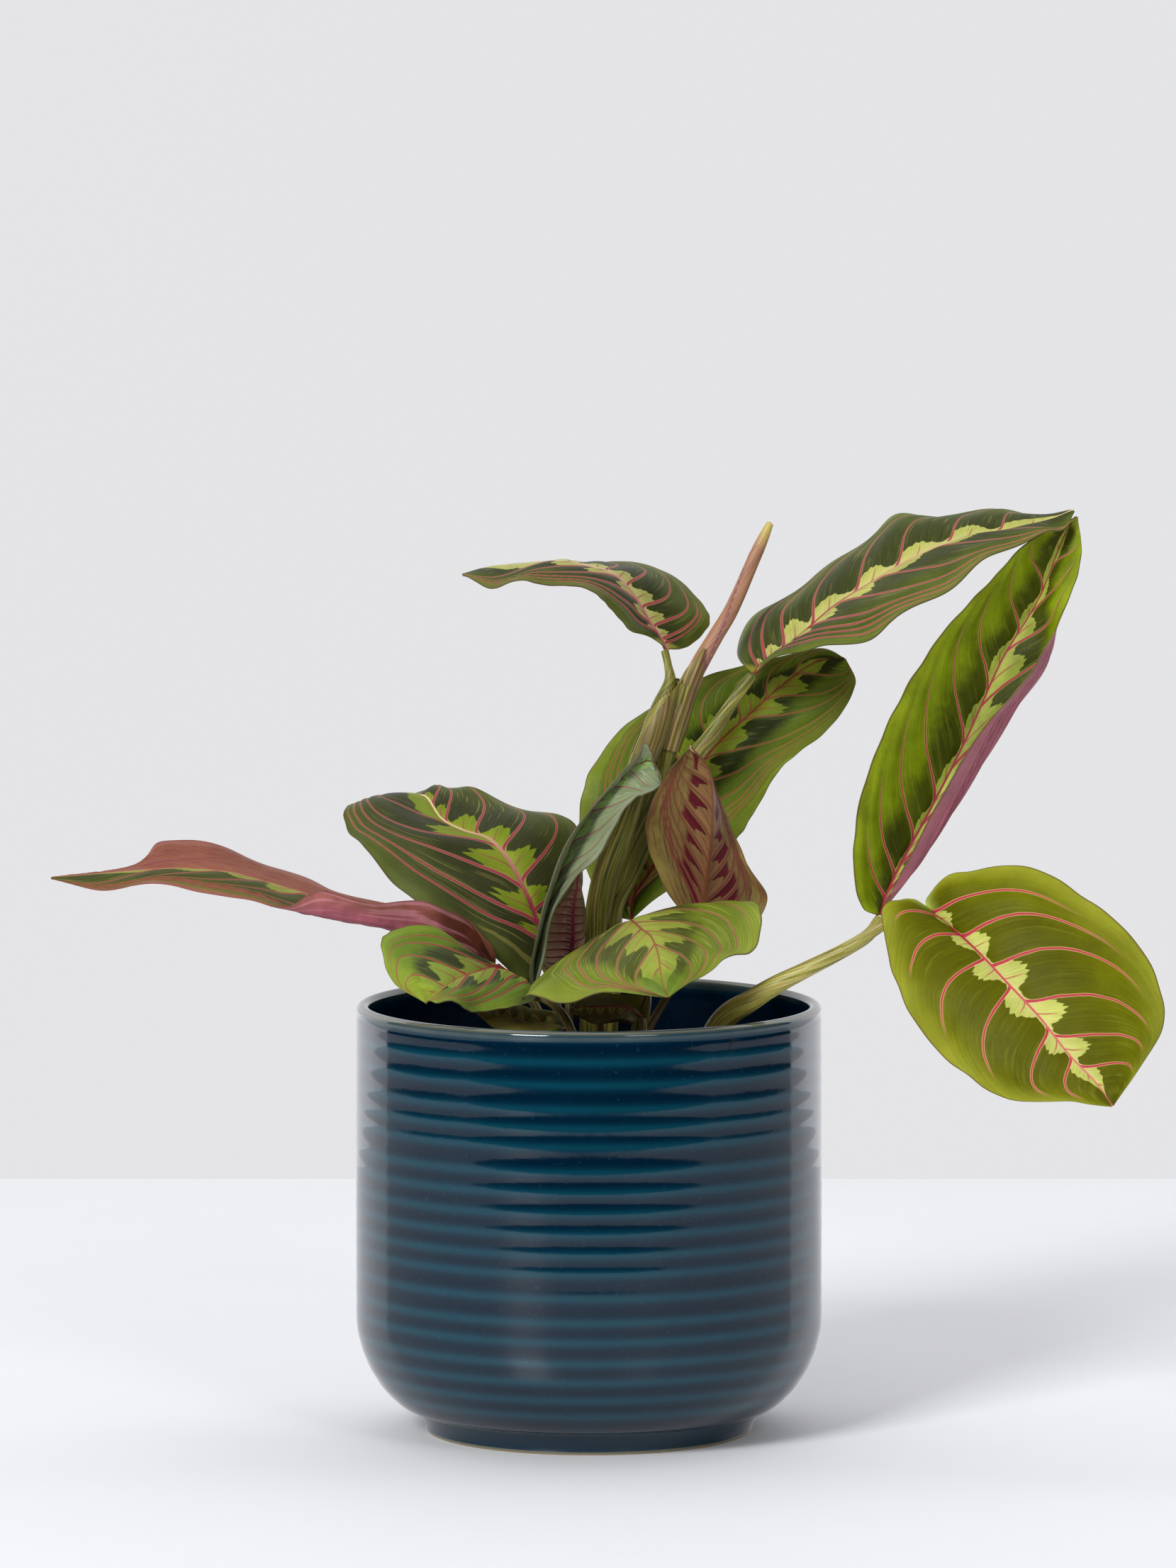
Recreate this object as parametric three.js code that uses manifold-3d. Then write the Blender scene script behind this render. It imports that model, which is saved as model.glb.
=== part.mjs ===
// A potted prayer plant: a ribbed glazed pot, soil, stems and patterned leaves, in millimetres.
// The origin is the centre of the pot's underside, +Z is up and -Y is the front.
import * as THREE from 'three'
import Module from 'manifold-3d'

const wasm = await Module()
wasm.setup()

// The pot.
const potHeight = 133.5
const bellyRadius = 72.4
const rimRadius = 72.1
const wallThickness = 4
const footRadius = 50.8
const footHeight = 6.6
const footBevel = 0.9
const grooveRadius = 54
const roundingHeight = 36
const floorTop = 10
const ribDepth = 0.5
const ribCrests = [
  14.1, 19.6, 25.5, 31.6, 38.2, 44.3, 51.7, 59.1, 65, 71.3, 77.6, 84, 90.3, 98.1, 103.8, 109.7,
  117.1, 124.1,
]
const potSegments = 36

// The soil, and the clearance that keeps touching pieces apart.
const soilTop = 113
const soilBump = 1.1
const soilSegments = potSegments
const soilRings = 3
const rootDepth = 12
const gap = 0.3
const sliver = 0.06

// The leaves.
const bladeThickness = 0.7
const stemSides = 7

// Each blade is three lines from its base to its tip: its left edge, its midrib and its right edge,
// seen from its upper face with the tip up. A bow line is where a rolled half passes halfway out.
// camber lifts the middle of the left and right halves, and wave is the height of the edge's waves.
const blades = {
  leaf_lower_right: {
    left: [[103, -44, 168], [104, -42, 172], [114, -46, 180], [135, -52, 181], [153, -60, 172],
      [169, -68, 156], [174, -76, 138], [167, -82, 125], [158, -89, 113]],
    rib: [[103, -44, 168], [106, -47, 166], [113, -54, 161], [120, -62, 155], [127, -69, 148],
      [136, -76, 139], [145, -82, 128], [153, -86, 120], [158, -89, 113]],
    right: [[103, -44, 168], [96, -44, 171], [90, -47, 168], [91, -57, 154], [98, -67, 138],
      [111, -76, 123], [127, -83, 115], [147, -87, 114], [158, -89, 113]],
    camber: [3, 3], wave: 1.2,
  },
  leaf_right_upright: {
    left: [[89, -37, 165], [83, -39, 169], [81, -40, 185], [84, -38, 205], [94, -34, 229],
      [107, -30, 250], [122, -27, 266], [134, -22, 278], [150, -14, 286]],
    rib: [[89, -37, 165], [91, -35, 171], [96, -31, 181], [105, -26, 197], [116, -21, 218],
      [127, -17, 242], [138, -15, 260], [146, -14, 280], [150, -14, 286]],
    right: [[89, -37, 165], [92, -40, 172], [98, -38, 183], [107, -37, 200], [119, -34, 220],
      [135, -30, 239], [147, -25, 261], [151, -18, 276], [150, -14, 286]],
    rightBow: [null, [97, -37, 175], [103, -33, 183], [115, -28, 201], [130, -22, 225],
      [141, -20, 243], null, null, null],
    camber: [-2, 0], wave: 1.0,
  },
  leaf_upper_right: {
    left: [[51, 10, 235], [46, 20, 241], [53, 26, 253], [68, 25, 262], [82, 22, 273], [95, 16, 283],
      [108, 10, 284], [125, 2, 286], [141, -8, 285], [149, -19, 288]],
    rib: [[51, 10, 235], [56, 8, 240], [66, 5, 248], [76, 2, 257], [88, -2, 265], [101, -6, 273],
      [115, -10, 279], [130, -14, 282], [141, -17, 285], [149, -19, 288]],
    right: [[51, 10, 235], [59, -2, 242], [71, -13, 245], [84, -20, 248], [96, -25, 256],
      [110, -28, 265], [123, -28, 274], [137, -26, 281], [145, -22, 282], [149, -19, 288]],
    camber: [3, 2], wave: 1.0,
  },
  leaf_upper_left: {
    left: [[24, 6, 243], [18, 0, 248], [12, -8, 250], [8, -14, 257], [2, -20, 262], [-8, -26, 266],
      [-19, -30, 267], [-28, -30, 265], [-35, -25, 267], [-39, -18, 268]],
    rib: [[24, 6, 243], [22, 6, 247], [18, 4, 253], [14, 1, 260], [8, -3, 267], [0, -7, 270],
      [-10, -11, 272], [-21, -14, 271], [-31, -16, 270], [-39, -18, 268]],
    right: [[24, 6, 243], [30, 12, 243], [37, 16, 249], [35, 20, 255], [27, 21, 265], [14, 20, 268],
      [-2, 14, 269], [-17, 6, 269], [-29, -6, 269], [-39, -18, 268]],
    camber: [1, 0], wave: 1.0,
  },
  leaf_back: {
    left: [[13, 10, 158], [6, 14, 161], [-2, 18, 176], [-3, 22, 190], [0, 26, 202], [9, 30, 215],
      [21, 32, 223], [36, 33, 232], [55, 33, 237], [72, 32, 241], [80, 30, 238]],
    rib: [[13, 10, 158], [14, 13, 165], [20, 18, 174], [25, 22, 187], [29, 26, 196], [35, 29, 205],
      [42, 31, 213], [51, 32, 221], [61, 32, 230], [71, 31, 237], [80, 30, 238]],
    right: [[13, 10, 158], [22, 8, 166], [34, 10, 174], [42, 14, 179], [47, 18, 184], [52, 22, 191],
      [58, 24, 202], [67, 26, 210], [78, 27, 220], [83, 29, 230], [80, 30, 238]],
    camber: [3, 3], wave: 1.0,
  },
  leaf_russet: {
    left: [[35, 0, 150], [49, -3, 157], [55, -6, 166], [50, -6, 176], [45, -6, 186], [40, -10, 199],
      [36, -16, 209], [31, -26, 216]],
    rib: [[35, 0, 150], [35, -2, 158], [36, -6, 168], [37, -11, 179], [38, -16, 190], [38, -20, 202],
      [36, -23, 210], [31, -26, 216]],
    right: [[35, 0, 150], [29, 1, 161], [23, -1, 171], [18, -5, 183], [18, -10, 194], [22, -16, 203],
      [26, -21, 210], [31, -26, 216]],
    camber: [2, 2], wave: 0.9,
  },
  leaf_front: {
    left: [[12, 0, 155], [21, -4, 158], [37, -16, 164], [49, -27, 169], [53, -38, 164], [49, -49, 156],
      [41, -59, 153], [32, -67, 149], [24, -72, 144]],
    rib: [[12, 0, 155], [12, -6, 158], [12, -13, 160], [13, -23, 162], [16, -37, 161], [19, -50, 160],
      [21, -61, 156], [22, -68, 150], [24, -72, 144]],
    right: [[12, 0, 155], [3, -12, 150], [-9, -26, 146], [-18, -40, 143], [-20, -48, 141],
      [-12, -55, 141], [-1, -62, 143], [10, -67, 145], [24, -72, 144]],
    camber: [1.5, 1.5], wave: 1.4,
  },
  leaf_front_left: {
    left: [[-16, -27, 140], [-17, -34, 139], [-24, -44, 137], [-33, -54, 138], [-39, -61, 140],
      [-44, -64, 142], [-48, -62, 142], [-50, -60, 141]],
    rib: [[-16, -27, 140], [-20, -25, 144], [-28, -28, 148], [-34, -38, 148], [-40, -47, 147],
      [-44, -54, 145], [-46, -58, 144], [-50, -60, 141]],
    right: [[-16, -27, 140], [-26, -24, 145], [-36, -32, 152], [-48, -38, 161], [-59, -42, 162],
      [-64, -46, 157], [-60, -52, 147], [-50, -60, 141]],
    camber: [2, 1], wave: 1.2,
  },
  leaf_broad_left: {
    left: [[-15, 7, 147], [-20, 3, 139], [-30, 1, 148], [-42, 0, 156], [-54, 0, 165], [-64, 2, 175],
      [-71, 6, 182], [-76, 13, 189], [-75, 23, 192], [-67, 35, 194], [-59, 48, 190]],
    rib: [[-15, 7, 147], [-15, 6, 154], [-17, 6, 161], [-20, 7, 168], [-25, 10, 177], [-31, 14, 183],
      [-39, 20, 185], [-46, 27, 188], [-51, 35, 194], [-56, 43, 193], [-59, 48, 190]],
    right: [[-15, 7, 147], [-12, 17, 149], [-5, 21, 160], [-2, 23, 173], [-4, 25, 186], [-15, 29, 190],
      [-29, 33, 194], [-40, 37, 197], [-46, 41, 197], [-50, 47, 194], [-59, 48, 190]],
    camber: [2, 3], wave: 1.2,
  },
  leaf_far_left: {
    left: [[-29, -2, 145], [-31, -12, 151], [-38, -20, 162], [-50, -26, 168], [-65, -30, 168],
      [-82, -34, 172], [-92, -35, 168], [-104, -34, 169], [-119, -33, 172], [-134, -31, 174],
      [-150, -29, 172], [-166, -24, 175]],
    rib: [[-29, -2, 145], [-32, -6, 148], [-38, -11, 153], [-50, -15, 159], [-66, -18, 164],
      [-79, -20, 168], [-90, -20, 171], [-100, -21, 174], [-112, -22, 177], [-127, -23, 178],
      [-145, -24, 177], [-166, -24, 175]],
    right: [[-29, -2, 145], [-30, -3, 151], [-36, -5, 158], [-48, -7, 164], [-63, -8, 165],
      [-77, -8, 169], [-89, -4, 173], [-104, -6, 179], [-118, -7, 184], [-132, -10, 185],
      [-140, -18, 178], [-166, -24, 175]],
    leftBow: [null, [-31, -10, 146], [-37, -18, 150], [-49, -24, 155], [-63, -28, 160],
      [-78, -31, 163], [-90, -32, 166], [-102, -31, 171], [-115, -30, 174], [-130, -29, 176],
      [-148, -28, 174], null],
    camber: [0, 0], wave: 0.5,
  },
  leaf_folded: {
    left: [[-17, -12, 139], [-18, -18, 145], [-16, -22, 157], [-13, -24, 170], [-8, -19, 183],
      [0, -14, 195], [8, -11, 204], [14, -10, 210], [18, -9, 215], [22, -6, 201]],
    rib: [[-17, -12, 139], [-17, -11, 148], [-14, -12, 160], [-10, -11, 173], [-5, -8, 185],
      [1, -6, 195], [9, -6, 203], [14, -6, 208], [20, -6, 209], [22, -6, 201]],
    right: [[-17, -12, 139], [-14, -18, 148], [-11, -22, 164], [-4, -24, 175], [3, -22, 182],
      [9, -17, 192], [14, -15, 199], [18, -13, 200], [22, -9, 202], [22, -6, 201]],
    camber: [-1, -2], wave: 0.7,
  },
  leaf_small_underside: {
    left: [[-7, -2, 140], [-2, -4, 146], [-1, -4, 153], [-1, -4, 160], [-2, -6, 168], [-3, -9, 177]],
    rib: [[-7, -2, 140], [-6, -3, 147], [-5, -4, 154], [-5, -5, 162], [-4, -7, 169], [-3, -9, 177]],
    right: [[-7, -2, 140], [-13, -6, 145], [-15, -8, 152], [-12, -10, 161], [-7, -10, 168],
      [-3, -9, 177]],
    camber: [2, 2], wave: 0.5,
  },
  leaf_shade_front: {
    left: [[16, -26, 132], [15, -20, 137], [9, -18, 139], [2, -19, 139], [-3, -24, 138],
      [-6, -31, 135]],
    rib: [[16, -26, 132], [13, -28, 135], [8, -30, 136], [2, -31, 136], [-3, -31, 136], [-6, -31, 135]],
    right: [[16, -26, 132], [14, -36, 132], [9, -40, 133], [3, -41, 133], [-2, -38, 134],
      [-6, -31, 135]],
    camber: [2, 2], wave: 0.8,
  },
  leaf_shade_left: {
    left: [[-8, -20, 128], [-9, -30, 127], [-16, -38, 127], [-25, -42, 130], [-32, -40, 133],
      [-37, -36, 137]],
    rib: [[-8, -20, 128], [-12, -24, 130], [-20, -28, 131], [-27, -31, 133], [-33, -33, 135],
      [-37, -36, 137]],
    right: [[-8, -20, 128], [-11, -17, 132], [-19, -17, 134], [-27, -19, 136], [-32, -25, 137],
      [-37, -36, 137]],
    camber: [2, 2], wave: 0.8,
  },
}

// Rows and columns of each blade's net, more where the blade is long or rolled.
const bladeNets = {
  leaf_lower_right: { rows: 20, half: 3, waves: 5 },
  leaf_right_upright: { rows: 22, half: 4, waves: 5 },
  leaf_upper_right: { rows: 22, half: 3, waves: 5 },
  leaf_upper_left: { rows: 18, half: 3, waves: 4 },
  leaf_back: { rows: 22, half: 3, waves: 5 },
  leaf_russet: { rows: 14, half: 3, waves: 3 },
  leaf_front: { rows: 18, half: 4, waves: 4 },
  leaf_front_left: { rows: 14, half: 3, waves: 3 },
  leaf_broad_left: { rows: 20, half: 3, waves: 5 },
  leaf_far_left: { rows: 24, half: 3, waves: 6 },
  leaf_folded: { rows: 16, half: 3, waves: 4 },
  leaf_small_underside: { rows: 8, half: 2, waves: 2 },
  leaf_shade_front: { rows: 8, half: 2, waves: 2 },
  leaf_shade_left: { rows: 8, half: 2, waves: 2 },
}

// Stems, as x, y, z and radius from the soil up. The stems of one node are grown together.
const stems = {
  stem_centre: [
    [[0.5, 8, 112, 3.6], [1.5, 7, 149, 3.8], [4.5, 5, 169.5, 4.2], [10.5, 3, 188.5, 4.1],
      [15.5, 2, 206, 3.8], [19.5, 2, 216.5, 3.8], [22.5, 3, 225, 3.3], [25, 4, 233, 1.9],
      [24.5, 5, 238, 1.25], [23.5, 6, 242.5, 1.2]],
    [[3.5, 10, 112, 3.2], [6, 10, 153.5, 3], [11.5, 9, 178, 3], [18.5, 8, 193.5, 2.9],
      [22.5, 7, 206.5, 2.9], [25.5, 6, 215.5, 3.3], [28, 6, 224.5, 3.6], [30.5, 6, 232, 3.7]],
    [[5.5, 6, 112, 2.6], [7, 6, 136, 2.5], [8, 8, 160, 2.5], [13, 9, 172, 2.4],
      [18.5, 9, 184.5, 2.4], [26, 8, 199.5, 2.4], [34, 8, 211, 2.6], [37.5, 8, 215.5, 2.4],
      [44, 9, 225.5, 1.9], [50.5, 10, 234.5, 1.5]],
    [[6, 11, 112, 2.2], [8.5, 10.5, 139.5, 1.9], [12.5, 10, 157, 1.4]],
  ],
  stem_front: [
    [[14, -4, 112, 2.6], [16, -4, 128, 2.6], [17, -2, 137, 2.2], [14.5, 0, 147, 1.6],
      [12, -0.1, 155, 1.1]],
  ],
  stem_russet: [
    [[9.5, -18, 112, 1.4], [18, -16, 127, 1.3], [23.5, -12, 136, 1.2], [31, -5, 146.5, 1.1],
      [35, -1, 151.5, 1]],
  ],
  stem_folded: [
    [[3.5, -10, 112, 1.4], [3, -12, 129.5, 1.3], [-3.5, -13, 135.5, 1.3], [-12, -13, 138, 1.2],
      [-16.5, -12, 138.5, 1.1]],
  ],
  stem_front_left: [
    [[-2, -25, 112, 1.5], [-4, -26, 124, 1.4], [-7.5, -27, 132.5, 1.3], [-12, -27.5, 137, 1.2],
      [-16.4, -27, 138.7, 1.1]],
  ],
  stem_far_left: [
    [[-12, -4, 112, 1.5], [-14, -4, 127, 1.4], [-20, -4, 138, 1.3], [-28.6, -2, 145.2, 1.1]],
  ],
  stem_broad_left: [
    [[-9, 8, 112, 1.6], [-9.5, 8, 127.5, 1.5], [-12, 7, 140, 1.3], [-15, 7, 146.5, 1.2]],
  ],
  stem_right: [
    [[31.5, -24, 112, 3.2], [40.5, -34, 131.5, 3.7], [50, -37, 139, 3.3], [57.5, -39, 144, 2.9],
      [66, -40, 148.5, 2.5], [76.5, -41, 154, 2.2], [85, -40, 159, 2], [89, -37.2, 164.2, 1.5]],
    [[76.5, -41, 154, 1.9], [83, -42, 158, 1.8], [89.5, -43, 162.5, 1.6], [96, -43, 166, 1.3],
      [102.5, -44, 167.5, 1.1]],
  ],
  stem_small_underside: [
    [[-5, 0, 112, 1.2], [-6, -1, 128, 1.1], [-7, -2, 140.3, 1]],
  ],
  stem_shade_left: [
    [[-1, -20, 112, 1.3], [-3, -20, 121, 1.2], [-8, -20, 128, 1]],
  ],
  stem_shade_front: [
    [[15, -34, 112, 1.3], [17, -30, 123, 1.2], [16.5, -26, 131.6, 1]],
  ],
}

// The newest leaf, still rolled up, standing in the top of its sheath.
const roll = [
  [29, 6, 227, 2.3], [33, 6, 236.5, 2.9], [39, 6, 247, 2.6], [44, 6, 255.5, 2.5], [50, 6, 269, 2.2],
  [53.5, 6, 276.5, 1.6], [56, 6, 282, 0.8],
]

// Colour and roughness of each finish.
const finishes = {
  glaze: { color: 0x0f3a4c, roughness: 0.1 },
  pottingMix: { color: 0x2b2019, roughness: 0.95 },
  stalk: { color: 0x96922f, roughness: 0.5 },
  rolledLeaf: { color: 0xcf9f7c, roughness: 0.45 },
  darkLeaf: { color: 0x465f2f, roughness: 0.4 },
  midLeaf: { color: 0x5a7d2a, roughness: 0.42 },
  paleLeaf: { color: 0x86981f, roughness: 0.45 },
  underside: { color: 0x85584a, roughness: 0.5 },
}

const bladeFinishes = {
  leaf_lower_right: 'paleLeaf',
  leaf_right_upright: 'paleLeaf',
  leaf_upper_right: 'darkLeaf',
  leaf_upper_left: 'darkLeaf',
  leaf_back: 'midLeaf',
  leaf_russet: 'underside',
  leaf_front: 'paleLeaf',
  leaf_front_left: 'midLeaf',
  leaf_broad_left: 'darkLeaf',
  leaf_far_left: 'underside',
  leaf_folded: 'midLeaf',
  leaf_small_underside: 'underside',
  leaf_shade_front: 'darkLeaf',
  leaf_shade_left: 'midLeaf',
}

function toSolid(positions, triangles) {
  const mesh = new wasm.Mesh({
    numProp: 3,
    vertProperties: new Float32Array(positions.flat()),
    triVerts: new Uint32Array(triangles.flat()),
  })
  return new wasm.Manifold(mesh)
}

function toNode(name, solid, finish) {
  const mesh = solid.getMesh()
  const stride = mesh.numProp
  const count = mesh.vertProperties.length / stride
  const positions = new Float32Array(count * 3)
  for (let i = 0; i < count; i += 1) {
    for (let axis = 0; axis < 3; axis += 1) {
      positions[3 * i + axis] = mesh.vertProperties[stride * i + axis]
    }
  }
  const geometry = new THREE.BufferGeometry()
  geometry.setAttribute('position', new THREE.BufferAttribute(positions, 3))
  geometry.setIndex(new THREE.BufferAttribute(new Uint32Array(mesh.triVerts), 1))
  geometry.computeVertexNormals()
  const node = new THREE.Mesh(geometry, new THREE.MeshStandardMaterial({ ...finishes[finish], metalness: 0 }))
  node.name = name
  return node
}

// Turns an outline of [radius, height] that starts and ends on the axis into a solid.
function turned(outline, segments) {
  const positions = []
  const rings = outline.map(([radius, height]) => {
    const start = positions.length
    if (radius === 0) {
      positions.push([0, 0, height])
      return { start, single: true }
    }
    for (let i = 0; i < segments; i += 1) {
      const angle = (2 * Math.PI * i) / segments
      positions.push([radius * Math.cos(angle), radius * Math.sin(angle), height])
    }
    return { start, single: false }
  })
  const triangles = []
  for (let k = 0; k + 1 < rings.length; k += 1) {
    const low = rings[k]
    const high = rings[k + 1]
    for (let i = 0; i < segments; i += 1) {
      const j = (i + 1) % segments
      if (!low.single) {
        triangles.push([low.start + i, low.start + j, high.single ? high.start : high.start + j])
      }
      if (!high.single) {
        triangles.push([low.single ? low.start : low.start + i, high.start + j, high.start + i])
      }
    }
  }
  return toSolid(positions, triangles)
}

// The pot's outer radius without its ribs: a straight belly over a rounded foot.
function bodyRadius(height) {
  if (height >= roundingHeight) {
    const up = (height - roundingHeight) / (potHeight - roundingHeight)
    return bellyRadius - (bellyRadius - rimRadius) * up ** 4
  }
  const down = (roundingHeight - height) / (roundingHeight - footHeight + 0.4)
  return grooveRadius - 1.5 + (bellyRadius - grooveRadius + 1.5) * (1 - down ** 1.8) ** 0.6
}

function potOuterOutline() {
  const outline = [
    [0, 0],
    [footRadius - footBevel, 0],
    [footRadius, footBevel],
    [footRadius + 1.6, footHeight - 1],
    [grooveRadius, footHeight],
    [bodyRadius(8), 8],
    [bodyRadius(10.5) - 0.2, 10.5],
  ]
  ribCrests.forEach((crest, i) => {
    outline.push([bodyRadius(crest), crest])
    const next = ribCrests[i + 1]
    if (next !== undefined) {
      const middle = (crest + next) / 2
      outline.push([bodyRadius(middle) - ribDepth, middle])
    }
  })
  return outline
}

function rimOutline() {
  const rimMiddle = rimRadius - wallThickness / 2
  const points = [[rimRadius, potHeight - 5]]
  const steps = 4
  for (let i = 0; i <= steps; i += 1) {
    const angle = (Math.PI * i) / steps
    const across = (wallThickness / 2) * Math.cos(angle)
    points.push([rimMiddle + across, potHeight - 1.6 + 1.6 * Math.sin(angle)])
  }
  return points
}

// The inner wall from the rim down to the floor, pushed in by a clearance for what fills the pot.
function innerOutline(top, clearance) {
  const points = []
  const heights = [100, 60, 34, 24, 17, 12.5, floorTop]
  for (const height of heights) {
    if (height < top) {
      points.push([bodyRadius(height - 2) - wallThickness - clearance, height])
    }
  }
  const last = points[points.length - 1]
  last[1] = floorTop + clearance
  points.push([0, floorTop + clearance])
  return points
}

function makePot() {
  const outline = [...potOuterOutline(), ...rimOutline(), ...innerOutline(potHeight - 5, 0)]
  return turned(outline, potSegments)
}

function soilHeight(x, y) {
  const broad = Math.sin(x * 0.11 + 1.3) * Math.cos(y * 0.13 - 0.4)
  const fine = Math.sin(x * 0.37 + y * 0.29) * 0.45
  return soilTop + soilBump * (broad + fine)
}

function makeSoil(holes) {
  const radius = bodyRadius(soilTop) - wallThickness - gap
  const wall = innerOutline(soilTop - 2, gap).reverse()
  const solid = turned([...wall, [radius, soilTop - 2], [0, soilTop - 2]], soilSegments)
  const positions = [[0, 0, soilHeight(0, 0)]]
  const triangles = []
  for (let k = 1; k <= soilRings; k += 1) {
    for (let i = 0; i < soilSegments; i += 1) {
      const angle = (2 * Math.PI * i) / soilSegments
      const x = ((radius * k) / soilRings) * Math.cos(angle)
      const y = ((radius * k) / soilRings) * Math.sin(angle)
      positions.push([x, y, soilHeight(x, y)])
    }
  }
  const bottom = positions.length
  for (let i = 0; i < soilSegments; i += 1) {
    const [x, y] = positions[1 + (soilRings - 1) * soilSegments + i]
    positions.push([x, y, soilTop - 3])
  }
  positions.push([0, 0, soilTop - 3])
  for (let i = 0; i < soilSegments; i += 1) {
    const j = (i + 1) % soilSegments
    triangles.push([0, 1 + i, 1 + j])
    for (let k = 0; k + 1 < soilRings; k += 1) {
      const inner = 1 + k * soilSegments
      const outer = inner + soilSegments
      triangles.push([inner + i, outer + i, outer + j])
      triangles.push([inner + i, outer + j, inner + j])
    }
    const edge = 1 + (soilRings - 1) * soilSegments
    triangles.push([edge + i, bottom + i, bottom + j])
    triangles.push([edge + i, bottom + j, edge + j])
    triangles.push([bottom + j, bottom + i, bottom + soilSegments])
  }
  let soil = solid.add(toSolid(positions, triangles))
  for (const hole of holes) {
    soil = soil.subtract(hole)
  }
  return soil
}

function curveThrough(points) {
  const vectors = points.map(([x, y, z]) => new THREE.Vector3(x, y, z))
  return new THREE.CatmullRomCurve3(vectors, false, 'catmullrom', 0.5)
}

// A round tapered tube along [x, y, z, radius] points, with its radius grown by a margin.
function tube(points, grow, perSpan = 2) {
  const curve = curveThrough(points)
  const radii = curveThrough(points.map((point) => [point[3], 0, 0]))
  const count = (points.length - 1) * perSpan
  const positions = []
  let side = new THREE.Vector3(1, 0, 0)
  for (let k = 0; k <= count; k += 1) {
    const t = k / count
    const along = curve.getTangent(t)
    side = side.addScaledVector(along, -side.dot(along)).normalize()
    const other = new THREE.Vector3().crossVectors(along, side)
    const radius = radii.getPoint(t).x + grow
    const centre = curve.getPoint(t)
    if (k === 0) {
      centre.addScaledVector(along, -grow)
    }
    if (k === count) {
      centre.addScaledVector(along, grow)
    }
    for (let i = 0; i < stemSides; i += 1) {
      const angle = (2 * Math.PI * (i + 0.5)) / stemSides
      const point = centre.clone().addScaledVector(side, radius * Math.cos(angle))
      point.addScaledVector(other, radius * Math.sin(angle))
      positions.push(point.toArray())
    }
  }
  const triangles = []
  for (let k = 0; k < count; k += 1) {
    for (let i = 0; i < stemSides; i += 1) {
      const a = k * stemSides + i
      const b = k * stemSides + ((i + 1) % stemSides)
      triangles.push([a, b, b + stemSides])
      triangles.push([a, b + stemSides, a + stemSides])
    }
  }
  const top = count * stemSides
  for (let i = 1; i + 1 < stemSides; i += 1) {
    triangles.push([0, i + 1, i])
    triangles.push([top, top + i, top + i + 1])
  }
  return toSolid(positions, triangles)
}

function rooted(points) {
  const [x, y, z, radius] = points[0]
  return [[x, y, z - rootDepth, radius], ...points]
}

function makeStem(tubes, grow) {
  let solid = tube(rooted(tubes[0]), grow)
  for (const points of tubes.slice(1)) {
    const base = points[0][2] === tubes[0][0][2] ? rooted(points) : points
    solid = solid.add(tube(base, grow))
  }
  return solid
}

function middle(a, b) {
  return [0, 1, 2].map((axis) => (a[axis] + b[axis]) / 2)
}

// One half of a blade as a function of t along the midrib and s from the midrib to the edge.
function halfSurface(blade, edge, bow, camber, normalAt, widest) {
  const ribCurve = curveThrough(blade.rib)
  const edgeCurve = curveThrough(edge)
  const bows = bow && bow.map((point, i) => point ?? middle(blade.rib[i], edge[i]))
  const bowCurve = bows && curveThrough(bows)
  return (t, s) => {
    const rib = ribCurve.getPoint(t)
    const end = edgeCurve.getPoint(t)
    const width = rib.distanceTo(end)
    const centre = rib.clone().add(end).multiplyScalar(0.5)
    const through = bowCurve
      ? bowCurve.getPoint(t)
      : centre.clone().addScaledVector(normalAt(t), (camber * width) / widest)
    const handle = through.multiplyScalar(2).sub(centre)
    const point = rib.multiplyScalar((1 - s) ** 2)
    point.addScaledVector(handle, 2 * s * (1 - s))
    return point.addScaledVector(end, s * s)
  }
}

function bladeSurface(blade, net) {
  const left = curveThrough(blade.left)
  const rib = curveThrough(blade.rib)
  const right = curveThrough(blade.right)
  const normalAt = (t) => {
    const inside = Math.min(Math.max(t, 0.03), 0.97)
    const across = right.getPoint(inside).sub(left.getPoint(inside))
    return across.cross(rib.getTangent(inside)).normalize()
  }
  const widths = blade.rib.map((point, i) => [
    new THREE.Vector3(...point).distanceTo(new THREE.Vector3(...blade.left[i])),
    new THREE.Vector3(...point).distanceTo(new THREE.Vector3(...blade.right[i])),
  ])
  const widest = widths.flat().reduce((a, b) => Math.max(a, b))
  const leftHalf = halfSurface(blade, blade.left, blade.leftBow, blade.camber[0], normalAt, widest)
  const rightHalf = halfSurface(blade, blade.right, blade.rightBow, blade.camber[1], normalAt, widest)
  return (t, v) => {
    const s = Math.abs(v)
    const point = v < 0 ? leftHalf(t, s) : rightHalf(t, s)
    const phase = v < 0 ? 0.37 : 0
    const taper = Math.min(1, 4 * t, 4 * (1 - t)) * s ** 3
    const wave = blade.wave * taper * Math.sin(2 * Math.PI * (net.waves * t + phase))
    return point.addScaledVector(normalAt(t), wave)
  }
}

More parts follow.
